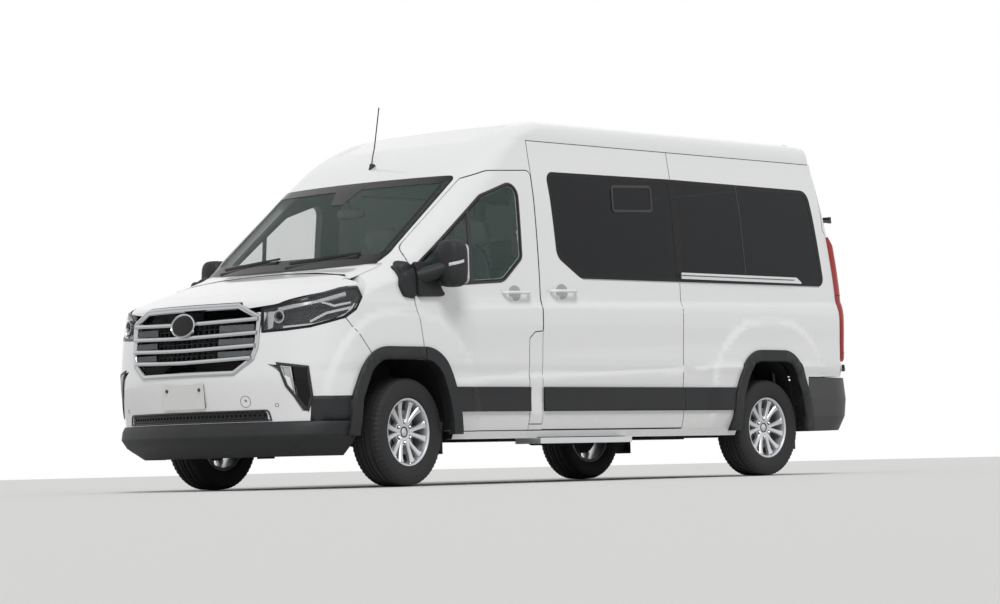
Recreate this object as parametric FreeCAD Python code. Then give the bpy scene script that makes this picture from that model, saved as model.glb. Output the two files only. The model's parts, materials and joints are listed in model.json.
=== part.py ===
import FreeCAD, Part
import math
import os

V = FreeCAD.Vector

# A long-wheelbase medium-roof minibus with a left sliding door and a right-hand drive cab.
# Millimetres. X runs from the nose to the tail, Y to the vehicle's right, Z up from the ground.
# The origin is on the ground under the middle of the body. Places along the body are given
# from the front axle and moved by at().

# Driving dimensions
LENGTH = 5940.0
WHEELBASE = 3760.0
FRONT_OVERHANG = 1050.0
HEIGHT = 2535.0
TRACK_FRONT = 1745.0
TRACK_REAR = 1725.0
FRONT_AXLE = FRONT_OVERHANG - LENGTH / 2
STEER_AT_REST = 6.3        # degrees, front wheels turned to the vehicle's left as it stands

# Walls and gaps
WALL = 60.0                # doors, sides and roof, skin to lining
GLASS = 6.0
SEAM = 0.3                 # between fixed panels
GAP = 7.0                  # round doors and lids
LEAF_GAP = 14.0            # between the two rear doors, where a seal runs
REBATE = 22.0              # land that a bonded glass sits on

# Wheels
TYRE_RADIUS = 350.0
TYRE_WIDTH = 235.0
RIM_RADIUS = 205.0
RIM_FLANGE_RADIUS = 220.0
RIM_WIDTH = 190.0
SPOKE_PAIRS = 6
BOLT_COUNT = 6
BOLT_CIRCLE = 180.0
BOLT_HOLE_RADIUS = 9.0
HUB_BORE_RADIUS = 34.5


def at(x):
    """Place along the body, given from the front axle."""
    return x + FRONT_AXLE


# Plan sections of the body from the sill to the roof, each a front arc, two front corner arcs,
# straight sides and two rear corner arcs.
# height, nose x, half width, nose radius, front corner radius, tail x, rear corner radius
BODY_SECTIONS = [
    (300.0, -985.0, 958.0, 1900.0, 400.0, 4610.0, 80.0),
    (385.0, -1010.0, 988.0, 1900.0, 410.0, 4640.0, 90.0),
    (470.0, -1015.0, 1003.0, 1900.0, 420.0, 4655.0, 90.0),
    (720.0, -1040.0, 1003.0, 1900.0, 420.0, 4662.0, 90.0),
    (800.0, -1035.0, 1012.0, 1900.0, 420.0, 4662.0, 90.0),
    (1000.0, -1015.0, 1016.0, 1900.0, 420.0, 4660.0, 90.0),
    (1170.0, -985.0, 1013.0, 1900.0, 420.0, 4652.0, 90.0),
    (1250.0, -800.0, 1002.0, 2100.0, 420.0, 4647.0, 90.0),
    (1360.0, -420.0, 999.0, 2600.0, 400.0, 4640.0, 90.0),
    (1430.0, -200.0, 996.0, 3200.0, 360.0, 4632.0, 90.0),
    (1560.0, -43.0, 989.0, 3200.0, 345.0, 4615.0, 90.0),
    (1900.0, 369.0, 963.0, 3200.0, 333.0, 4560.0, 90.0),
    (2060.0, 562.0, 940.0, 3200.0, 320.0, 4530.0, 90.0),
    (2310.0, 950.0, 899.0, 3200.0, 200.0, 4490.0, 90.0),
    (2440.0, 1290.0, 885.0, 3200.0, 200.0, 4470.0, 90.0),
    (2500.0, 1640.0, 880.0, 3200.0, 200.0, 4455.0, 90.0),
    (HEIGHT + 5.0, 2200.0, 878.0, 3200.0, 200.0, 4440.0, 90.0),
]
GUTTER_Z = 2312.0
SHOULDER = (840.0, 2446.0)       # where the roof's crown meets its rounded side
GUTTER_Y = 893.0

# Seams along the side, from the front axle
B_SEAM = 1280.0
C_SEAM = 2756.0
RING_SEAM = 4475.0
DOOR_BOTTOM = 356.0
BELT_Z = 1380.0


def rounded(corners):
    """Edges of a closed outline. Each corner is (u, v) or (u, v, radius), in a plane of its own."""
    count = len(corners)
    starts = []
    for i, corner in enumerate(corners):
        here = V(corner[0], corner[1], 0)
        radius = corner[2] if len(corner) > 2 else 0
        if not radius:
            starts.append((here, None, here))
            continue
        before = V(corners[i - 1][0], corners[i - 1][1], 0)
        after = V(corners[(i + 1) % count][0], corners[(i + 1) % count][1], 0)
        to_before = (before - here).normalize()
        to_after = (after - here).normalize()
        half = math.acos(max(-1.0, min(1.0, to_before.dot(to_after)))) / 2
        back = radius / math.tan(half)
        middle = (to_before + to_after).normalize() * (radius / math.sin(half) - radius)
        starts.append((here + to_before * back, here + middle, here + to_after * back))
    edges = []
    for i, (first, mid, last) in enumerate(starts):
        if mid is not None:
            edges.append(Part.Arc(first, mid, last))
        following = starts[(i + 1) % count][0]
        if (following - last).Length > 0.01:
            edges.append(Part.LineSegment(last, following))
    return [edge.toShape() for edge in edges]


def flat(corners, grow=0.0):
    """Face of a rounded outline, grown outward by a gap."""
    face = Part.Face(Part.Wire(rounded(corners)))
    if face.normalAt(0, 0).z < 0:
        face.reverse()
    if grow:
        face = face.makeOffset2D(grow, 0, False, False, False)
    return face


def prism_y(corners, y0, y1, grow=0.0):
    """Side-view outline (x from the front axle, z) run from y0 to y1."""
    face = flat([(at(c[0]),) + tuple(c[1:]) for c in corners], grow)
    face.rotate(V(0, 0, 0), V(1, 0, 0), 90)
    face.translate(V(0, y0, 0))
    return face.extrude(V(0, y1 - y0, 0))


def prism_x(corners, x0, x1, grow=0.0):
    """Front-view outline (y, z) run from x0 to x1, both from the front axle."""
    face = flat(corners, grow)
    face.rotate(V(0, 0, 0), V(1, 1, 1), 120)
    face.translate(V(at(x0), 0, 0))
    return face.extrude(V(x1 - x0, 0, 0))


def prism_z(corners, z0, z1, grow=0.0):
    """Plan outline (x from the front axle, y) run from z0 to z1."""
    face = flat([(at(c[0]),) + tuple(c[1:]) for c in corners], grow)
    face.translate(V(0, 0, z0))
    return face.extrude(V(0, 0, z1 - z0))


def box(x0, x1, y0, y1, z0, z1):
    """Block between x0 and x1 from the front axle, y0 and y1, z0 and z1."""
    return Part.makeBox(x1 - x0, y1 - y0, z1 - z0, V(at(x0), y0, z0))


def mirrored(shape):
    """The same piece on the other side of the vehicle."""
    return shape.mirror(V(0, 0, 0), V(0, 1, 0))


def both_sides(shape):
    """A piece and its mirror image."""
    return [shape, mirrored(shape)]


def solids_of(*shapes):
    """Compound of the solids in shapes."""
    found = []
    for shape in shapes:
        found.extend(shape.Solids)
    return Part.makeCompound(found)


def tube(start, end, radius, hollow=0.0):
    """Round bar from start to end, each (x from the front axle, y, z)."""
    first = V(at(start[0]), start[1], start[2])
    run = V(at(end[0]), end[1], end[2]) - first
    solid = Part.makeCylinder(radius, run.Length, first, run)
    if hollow:
        solid = solid.cut(Part.makeCylinder(hollow, run.Length, first, run))
    return solid


def plan_wire(z, nose, half, nose_radius, corner, tail, tail_corner):
    """One plan section of the body as a closed wire of lines and arcs."""
    nose = at(nose)
    tail = at(tail)
    front = V(nose + nose_radius, 0, z)
    reach = math.sqrt((nose_radius - corner) ** 2 - (half - corner) ** 2)
    centre = V(front.x - reach, half - corner, z)
    tangent = front + (centre - front) * (nose_radius / (nose_radius - corner))
    lean = math.atan2(tangent.y - centre.y, tangent.x - centre.x)
    turn = (lean + math.pi / 2) / 2
    knee = centre + V(math.cos(turn), math.sin(turn), 0) * corner
    side = V(centre.x, half, z)
    back = V(tail - tail_corner, half, z)
    rear = V(tail, half - tail_corner, z)
    bend = V(tail - tail_corner * (1 - math.sqrt(0.5)), half - tail_corner * (1 - math.sqrt(0.5)), z)

    def other(point):
        return V(point.x, -point.y, point.z)

    edges = [
        Part.Arc(other(tangent), V(nose, 0, z), tangent),
        Part.Arc(tangent, knee, side),
        Part.LineSegment(side, back),
        Part.Arc(back, bend, rear),
        Part.LineSegment(rear, other(rear)),
        Part.Arc(other(rear), other(bend), other(back)),
        Part.LineSegment(other(back), other(side)),
        Part.Arc(other(side), other(knee), other(tangent)),
    ]
    return Part.Wire([edge.toShape() for edge in edges])


def inset_sections(depth):
    """Body sections moved inward by depth, square to the nose's and the tail's slope."""
    rows = []
    last = len(BODY_SECTIONS) - 1
    for i, row in enumerate(BODY_SECTIONS):
        low = BODY_SECTIONS[max(0, i - 1)]
        high = BODY_SECTIONS[min(last, i + 1)]
        run = high[1] - low[1]
        rise = high[0] - low[0]
        slope = math.hypot(run, rise)
        z = row[0] - depth * max(0.0, run) / slope
        if i == 0:
            z = row[0]
        rows.append((z, row[1] + depth * rise / slope, row[2] - depth, row[3] - depth,
                     max(20.0, row[4] - depth), row[5] - depth, max(20.0, row[6] - depth)))
    return rows


def crown(depth):
    """Prism of the roof's cross-section: rounded sides from the gutter and a wide crown arc."""
    top = HEIGHT - depth
    side_y = GUTTER_Y - depth
    knee = V(0, SHOULDER[0] - depth, SHOULDER[1] - depth)
    edge = V(0, side_y, GUTTER_Z)
    bulge = V(0, (knee.y + edge.y) / 2 + 17.0, (knee.z + edge.z) / 2 + 17.0)
    wide = V(0, 1200.0, GUTTER_Z)
    low = V(0, 1200.0, 0)

    def other(point):
        return V(0, -point.y, point.z)

    edges = [
        Part.Arc(other(knee), V(0, 0, top), knee),
        Part.Arc(knee, bulge, edge),
        Part.LineSegment(edge, wide),
        Part.LineSegment(wide, low),
        Part.LineSegment(low, other(low)),
        Part.LineSegment(other(low), other(wide)),
        Part.LineSegment(other(wide), other(edge)),
        Part.Arc(other(edge), other(bulge), other(knee)),
    ]
    face = Part.Face(Part.Wire([e.toShape() for e in edges]))
    face.translate(V(at(-1500), 0, 0))
    return face.extrude(V(7500.0, 0, 0))


def hull(depth):
    """Whole body as one solid, its skin moved inward by depth."""
    rows = BODY_SECTIONS if depth == 0 else inset_sections(depth)
    loft = Part.makeLoft([plan_wire(*row) for row in rows], True, True)
    return loft.common(crown(depth))


OUTER = hull(0.0)
UNDER_GLASS = hull(GLASS)
INNER = hull(WALL)
BACKING = hull(22.0)
CORE = BACKING.cut(INNER)        # inner part of the wall, where hinge straps and the grille's ribs lie
SHELL = OUTER.cut(INNER)

# Side-view outlines, x from the front axle and z, with corner radii
FRONT_ARCH = [(-480, 150), (-470, 360), (-450, 560, 120), (-330, 815, 190), (250, 815, 190),
              (345, 560, 120),
              (388, 360), (392, 150)]
REAR_ARCH = [(3362, 150), (3368, 360), (3398, 560, 120), (3510, 830, 170), (3990, 830, 170),
             (4105, 560, 120),
             (4150, 360), (4155, 150)]
TRIM_WIDTH = 82.0
TRIM_Y = 1028.0
DOOR_NOTCH = 1149.0              # the front door's rear edge beside the fuel flap
FRONT_DOOR_TOP = [(B_SEAM - GAP, 2100, 40), (860, 2078, 160), (640, 2008, 160), (190, 1655, 60),
                  (78, 1530, 90),
                  (66, 1190), (118, 930), (134, 820), (134, DOOR_BOTTOM)]
PILLAR_Y = 850.0                 # inner limit of the front door beside the windscreen pillar
LEFT_DOOR = FRONT_DOOR_TOP + [(DOOR_NOTCH - GAP, DOOR_BOTTOM), (DOOR_NOTCH - GAP, 968, 30),
                              (1195, 1012, 20),
                              (B_SEAM - GAP, 1019)]
RIGHT_DOOR = FRONT_DOOR_TOP + [(B_SEAM - GAP, DOOR_BOTTOM)]
FRONT_WINDOW = [(1122, 2035, 85), (745, 1908, 80), (110, 1420, 20), (110, 1285, 20), (920, 1340, 120),
                (1112, 1500, 60)]
PANE_GAP = 4.0                   # from a glass to the seam between the two side windows
SLIDING_WINDOW = [(1435, 2100, 60), (C_SEAM - PANE_GAP, 2112, 6), (C_SEAM - PANE_GAP, BELT_Z, 6),
                  (1705, BELT_Z, 120), (1470, 1521, 100)]
REAR_WINDOW = [(C_SEAM + PANE_GAP, 2112, 6), (4340, 2105, 90), (4440, BELT_Z + 15, 60),
               (C_SEAM + PANE_GAP, BELT_Z, 6)]
FUEL_FLAP = [(DOOR_NOTCH, DOOR_BOTTOM + 40), (B_SEAM - GAP, DOOR_BOTTOM + 40), (B_SEAM - GAP, 1012),
             (1200, 1005, 20), (DOOR_NOTCH, 962, 30)]
FLAP_DEPTH = 18.0
STRIP = (478.0, 640.0)           # bottom and top of the rubbing strip
STRIP_Y = 1022.0
SILL = (300.0, 349.0)
WINDSCREEN = [(-790, 1437, 60), (790, 1437, 60), (826, 1520, 60), (818, 2046, 40), (-818, 2046, 40),
              (-826, 1520, 60)]
HEADLAMP = [(-1100, 958), (-1100, 1092), (-931, 1145), (-717, 1212), (-499, 1270), (-388, 1279, 10),
            (-408, 1205, 40),
            (-468, 1125, 40), (-556, 1072, 60), (-760, 1014, 60)]
LAMP_INNER_Y = 610.0
GRILLE = [(-435, 1184, 20), (435, 1184, 20), (608, 1100, 20), (600, 900, 60), (571, 817, 20),
          (434, 727, 20),
          (-434, 727, 20), (-571, 817, 20), (-600, 900, 60), (-608, 1100, 20)]
GRILLE_RIM = 24.0                # raised outer rim of the grille frame
GRILLE_FRAME = 42.0
BAR_HEIGHTS = (826.0, 903.0, 983.0, 1070.0)
BAR_HALF = 15.0
RIB_PITCH = 48.0                 # upright ribs behind the bars
RIB = 5.0
BADGE = (118.0, 79.0, 1056.0)    # half width, half height and height of the bare oval on the grille
BADGE_FRONT = -1016.0
BADGE_DEPTH = 30.0
LOWER_INTAKE = [(-645, 434), (645, 434), (640, 507, 40), (-640, 507, 40)]
BUMPER_SEAM = [(-556, 1072), (-440, 945), (-325, 815)]
BONNET_REAR = -245.0
AERIAL = [(705, 0, 2130), (723, 0, 2178), (789, 0, 2583)]
BONNET_SIDE_Y = 795.0
COWL_Z = 1452.0
BLACK_LINE = 430.0               # top of the black lower bumper across the nose
BLACK_CORNER = 585.0             # and behind the fog lamps
FOG_EDGE = -765.0
FOG_LAMP = [(-660, 792), (-720, 785), (-878, 775, 8), (-878, 492, 8), (-848, 492), (-820, 560), (-800, 700)]
TAIL_LAMP = (4572.0, 830.0, 1765.0)
RING_Y = 845.0                   # inside this half width the whole rear wall is frame and doors
RING_LEG = [(RING_SEAM, 2312), (RING_SEAM, 1800, 60), (4568, 1740, 60), (4600, 1300), (4600, 722),
            (5000, 722),
            (5000, 2312)]
RING_CAP = [(RING_SEAM, GUTTER_Z), (RING_SEAM - 85, 2600), (5000, 2600), (5000, GUTTER_Z)]
REAR_DOOR = [(-898, 742, 20), (-LEAF_GAP / 2, 742, 6), (-LEAF_GAP / 2, 2165, 6), (-770, 2165, 120),
             (-868, 1700)]
REAR_GLASS = [(-770, 1400, 60), (-110, 1400, 40), (-110, 2040, 40), (-690, 2040, 90)]

# The black lower bumper and the rear bumper, as plan sections like the body's
LIP_SECTIONS = [
    (210.0, -900.0, 880.0, 1900.0, 380.0, 4000.0, 80.0),
    (290.0, -1020.0, 960.0, 1900.0, 410.0, 4000.0, 80.0),
    (345.0, -FRONT_OVERHANG, 1000.0, 1900.0, 430.0, 4000.0, 80.0),
    (400.0, -1038.0, 1008.0, 1900.0, 430.0, 4000.0, 80.0),
    (BLACK_LINE, -1018.0, 1008.0, 1900.0, 430.0, 4000.0, 80.0),
]
REAR_OVERHANG = LENGTH - WHEELBASE - FRONT_OVERHANG
TAIL = WHEELBASE + REAR_OVERHANG
REAR_CORNER = 370.0
REAR_BUMPER_SECTIONS = [
    (325.0, -1000.0, 975.0, 1900.0, 400.0, TAIL - 55.0, REAR_CORNER - 20.0),
    (430.0, -1000.0, 1012.0, 1900.0, 400.0, TAIL - 8.0, REAR_CORNER),
    (560.0, -1000.0, 1020.0, 1900.0, 400.0, TAIL, REAR_CORNER),
    (715.0, -1000.0, 1016.0, 1900.0, 400.0, TAIL - 20.0, REAR_CORNER),
]
REAR_BUMPER_FRONT = 4190.0

# Mirrors: the cover on the wing, then the foot and arm on the door and the head, from the side, in plan
# and from the front
COVER_Y = 1012.0
MIRROR_CORNER = [(58, 1428, 10), (-62, 1424, 40), (-54, 1290, 60), (-8, 1212, 20), (70, 1206)]
MIRROR_FOOT = [(80, 1216, 10), (76, 1424, 10), (210, 1442, 30), (318, 1432, 20), (286, 1300, 50),
               (300, 1224, 10)]
MIRROR_FOOT_Y = 1056.0
MIRROR_SIDE = [(214, 1278, 50), (214, 1586, 50), (352, 1586, 60), (366, 1440), (366, 1278, 40)]
MIRROR_PLAN = [(214, -1038, 30), (366, -1038, 12), (366, -1233, 12), (318, -1233, 40), (214, -1150, 60)]
MIRROR_FACE = [(-1038, 1278, 30), (-1233, 1278, 50), (-1226, 1586, 60), (-1038, 1586, 50)]

# Where a number plate and a towing eye are screwed on
PLATE_HOLE_Y = 154.0
PLATE_HOLE_Z = 630.0
PLATE_HOLE_RADIUS = 3.0
EYE_RADIUS = 10.0
FRONT_EYE = (-918.0, -500.0, 565.0)
REAR_EYE = (4842.0, 500.0, 520.0)

# Hinges, from the front axle
REAR_HINGE_Y = 940.0
# the lower and the upper hinge on one axis: x and z of the pin, and the door's edge at that height
REAR_HINGES = [(4722.0, 790.0, 896.0), (4612.0, 1900.0, 826.0)]
KNUCKLE_RADIUS = 12.0
KNUCKLE = 24.0                   # length of a hinge knuckle; one on the frame, one on the door
HINGE_PLATE = 20.0               # height of the plate behind a knuckle
STRAP = 34.0                     # height of a hidden hinge strap

# Rows of passenger seats: place, lift over the wheel boxes and seat centres across
SEAT_ROWS = [
    (1660.0, 0.0, (-690.0, 230.0, 690.0)),
    (2370.0, 0.0, (-690.0, 230.0, 690.0)),
    (3080.0, 42.0, (-690.0, 230.0, 690.0)),
    (3790.0, 42.0, (-690.0, -230.0, 230.0, 690.0)),
]

# Running gear
COLUMN_TILT = 50.0               # degrees of the steering column from upright
STEERING_WHEEL = (470.0, 430.0, 1270.0)
STEERING_RADIUS = 195.0
KINGPIN_Y = 790.0
KNUCKLE_FOOT = 274.0
STEER_ROOM = 34.0                # from the arch's edge to the front wheel house's wall
HOUSE_WALL = 12.0
HOUSE_FOOT = 420.0               # lower edge of the front wheel houses
FLOOR = (520.0, 558.0)
RAIL = (380.0, 455.0, 400.0, 519.7)
SILENCER = 79.7                  # its top meets the cross member


def shell_part(*cutters):
    """The piece of the body's wall inside every cutter."""
    piece = SHELL
    for cutter in cutters:
        piece = piece.common(cutter)
    return piece


def side_box(x0, x1, z0, z1):
    """Region of the left side."""
    return box(x0, x1, -1100, -560, z0, z1)


def glaze(wall, outline_prism, opening_prism):
    """Cut a rebated window in a wall and return the wall and its bonded glass."""
    glass = OUTER.common(outline_prism).cut(UNDER_GLASS)
    return wall.cut(glass).cut(opening_prism), glass


def glaze_side(wall, outline):
    """Window through the left side."""
    return glaze(wall, prism_y(outline, -1100, -560), prism_y(outline, -1100, -560, -REBATE))


def screen_x(y, z):
    """Place of the windscreen's foot from the front axle, y out from the middle and z up."""
    return -200 + (z - 1430) * 157 / 130 + y * y / 6400


def strap_y(outline, z):
    """Hinge strap that fills the gap ahead of the left door up to its seat."""
    band = prism_y(outline, -990, -955, GAP + 2).cut(prism_y(outline, -1000, -950, SEAM))
    return band.common(box(0, 160, -1000, -950, z, z + STRAP))


def rear_knuckle(x, z, start, end):
    """Knuckle of a left rear hinge, from start to end along the tilted pin through (x, z)."""
    (low_x, low_z, _), (high_x, high_z, _) = REAR_HINGES
    run = V(high_x - low_x, 0, high_z - low_z).normalize()
    foot = V(at(x), -REAR_HINGE_Y, z) + run * start
    return Part.makeCylinder(KNUCKLE_RADIUS, end - start, foot, run)


def rear_strap(x, z, edge):
    """Plate of a left rear hinge, bolted to the door inside its edge and led out to the pin."""
    plan = [(x - 72, 106 - edge), (x - 38, 96 - edge), (x + 8, 10 - REAR_HINGE_Y), (x + 8, -6 - REAR_HINGE_Y),
            (x - 8, -6 - REAR_HINGE_Y), (x - 50, 22 - edge), (x - 72, 30 - edge)]
    return prism_z(plan, z + 2, z + 2 + HINGE_PLATE)


def arch_ring(outline):
    """Wheel-arch trim that stands on the left side's skin."""
    ring = prism_y(outline, -TRIM_Y, -880, TRIM_WIDTH)
    ring = ring.cut(prism_y(outline, -1100, -800)).cut(OUTER)
    return ring.common(box(-1200, 4800, -1100, -560, 332, 1000))


def strip(x0, x1):
    """Length of rubbing strip on the left side's skin."""
    return box(x0, x1, -STRIP_Y, -900, *STRIP).cut(OUTER)


def sections_solid(rows, depth=0.0):
    """Loft of plan sections, moved inward by depth."""
    wires = []
    for z, nose, half, nose_radius, corner, tail, tail_corner in rows:
        wires.append(plan_wire(z, nose + depth, half - depth, nose_radius - depth, max(20.0, corner - depth),
                               tail - depth, max(20.0, tail_corner - depth)))
    return Part.makeLoft(wires, True, True)


def badge(clear=0.0):
    """Bare oval in the middle of the grille, grown by a clearance where it is a cutter."""
    half_width, half_height, height = BADGE
    oval = Part.Ellipse(V(0, 0, 0), half_width + clear, half_height + clear).toShape()
    face = Part.Face(Part.Wire([oval]))
    face.rotate(V(0, 0, 0), V(1, 1, 1), 120)
    face.translate(V(at(BADGE_FRONT), 0, height))
    return face.extrude(V(BADGE_DEPTH + clear, 0, 0))


def grille_ribs(inside):
    """Upright ribs and a cross blade in each gap between the grille's bars, set back from them."""
    low = BAR_HEIGHTS[0] - BAR_HALF
    high = BAR_HEIGHTS[-1] + BAR_HALF
    count = int(560.0 / RIB_PITCH)
    blades = [box(-1200, -700, -700, 700, (a + b) / 2 - RIB / 2, (a + b) / 2 + RIB / 2)
              for a, b in zip(BAR_HEIGHTS, BAR_HEIGHTS[1:])]
    ribs = [box(-1200, -700, i * RIB_PITCH - RIB / 2, i * RIB_PITCH + RIB / 2, low, high)
            for i in range(-count, count + 1)]
    return inside.common(blades[0].fuse(blades[1:] + ribs))


def tyre():
    """Tyre about the Y axis, centred on the wheel: tread, round shoulders, sidewalls and beads."""
    half = TYRE_WIDTH / 2
    bead = RIM_WIDTH / 2 - SEAM
    flange = RIM_FLANGE_RADIUS + SEAM
    # from the bead out to the middle of the tread: place across, radius
    side = [(bead, RIM_RADIUS), (bead, flange), (bead + 9, flange), (half - 4, 244), (half, 270), (half, 300),
            (half - 5, 322), (half - 18, 338), (half - 40, TYRE_RADIUS - 3), (half - 60, TYRE_RADIUS)]
    face = flat(side + [(-across, radius) for across, radius in side[::-1]])
    face.rotate(V(0, 0, 0), V(0, 0, 1), 90)
    return face.revolve(V(0, 0, 0), V(0, 1, 0), 360)


def rim():
    """Alloy rim about the Y axis, outer face towards -Y: barrel, flanges, hub and paired spokes."""
    half = RIM_WIDTH / 2
    face_y = -half + 30
    barrel = [(RIM_FLANGE_RADIUS, -half - 8), (RIM_FLANGE_RADIUS, -half), (RIM_RADIUS, -half),
              (RIM_RADIUS, half),
              (RIM_FLANGE_RADIUS, half), (RIM_FLANGE_RADIUS, half + 8), (RIM_RADIUS - 14, half + 8),
              (RIM_RADIUS - 14, -half - 8)]
    whole = flat(barrel).revolve(V(0, 0, 0), V(0, 1, 0), 360)
    hub = Part.makeCylinder(92, 62, V(0, face_y, 0), V(0, 1, 0))
    whole = whole.fuse(hub)
    pitch = 360.0 / SPOKE_PAIRS
    for i in range(SPOKE_PAIRS):
        for lean in (-0.22 * pitch, 0.22 * pitch):
            spoke = flat([(60, -21), (RIM_RADIUS - 8, -13), (RIM_RADIUS - 8, 13), (60, 21)])
            spoke.rotate(V(0, 0, 0), V(1, 0, 0), 90)
            spoke.translate(V(0, face_y - 14, 0))
            solid = spoke.extrude(V(0, 34, 0))
            solid.rotate(V(0, 0, 0), V(0, 1, 0), i * pitch + lean)
            whole = whole.fuse(solid)
    whole = whole.cut(Part.makeCylinder(HUB_BORE_RADIUS, 300, V(0, face_y + 20, 0), V(0, 1, 0)))
    for i in range(BOLT_COUNT):
        angle = math.radians(i * 360.0 / BOLT_COUNT + 30)
        reach = BOLT_CIRCLE / 2 - 22
        spot = V(reach * math.cos(angle), -200, reach * math.sin(angle))
        whole = whole.cut(Part.makeCylinder(BOLT_HOLE_RADIUS, 400, spot, V(0, 1, 0)))
    return whole.removeSplitter()


def set_wheel(shape, x, y, steer=0.0, pivot=KINGPIN_Y):
    """Put a wheel piece, made for the left side, at its axle, turned by the steering."""
    piece = shape.copy()
    if y > 0:
        piece = piece.mirror(V(0, 0, 0), V(0, 1, 0))
    piece.translate(V(at(x), y, TYRE_RADIUS))
    if steer:
        side = 1 if y > 0 else -1
        piece.rotate(V(at(x), side * pivot, 0), V(0, 0, 1), steer)
    return piece


def knuckle():
    """Left steering knuckle with its brake disc, hub and strut foot, in line with the wheel."""
    y = -TRACK_FRONT / 2
    face = y - RIM_WIDTH / 2 + 30 + 62
    hub = tube((0, face + 0.3, TYRE_RADIUS), (0, face + 70, TYRE_RADIUS), 60)
    disc = tube((0, face + 12, TYRE_RADIUS), (0, face + 40, TYRE_RADIUS), 150)
    upright = box(-45, 45, face + 38, face + 112, KNUCKLE_FOOT, 520)
    caliper = box(90, 168, face, face + 52, 290, 420)
    return hub.fuse([disc, upright, caliper])


def seat(x, y, width, depth, ground, lift=0.0, foot_shift=0.0):
    """One seat as a solid: pedestal, cushion, backrest and head restraint, facing the nose."""
    floor = ground + lift
    pad = prism_y([(x, floor + 260, 40), (x, floor + 400, 60), (x + depth - 60, floor + 385),
                   (x + depth + 90, floor + 980, 40), (x + depth + 190, floor + 990, 40),
                   (x + depth + 70, floor + 260, 60)], y - width / 2, y + width / 2)
    rest = prism_y([(x + depth + 95, floor + 940), (x + depth + 110, floor + 1190, 40),
                    (x + depth + 215, floor + 1190, 40),
                    (x + depth + 170, floor + 940)], y - 130, y + 130)
    foot = box(x + 60, x + depth - 20, y - 60 + foot_shift, y + 60 + foot_shift, ground + SEAM, floor + 262)
    return pad.fuse([rest, foot])


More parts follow.
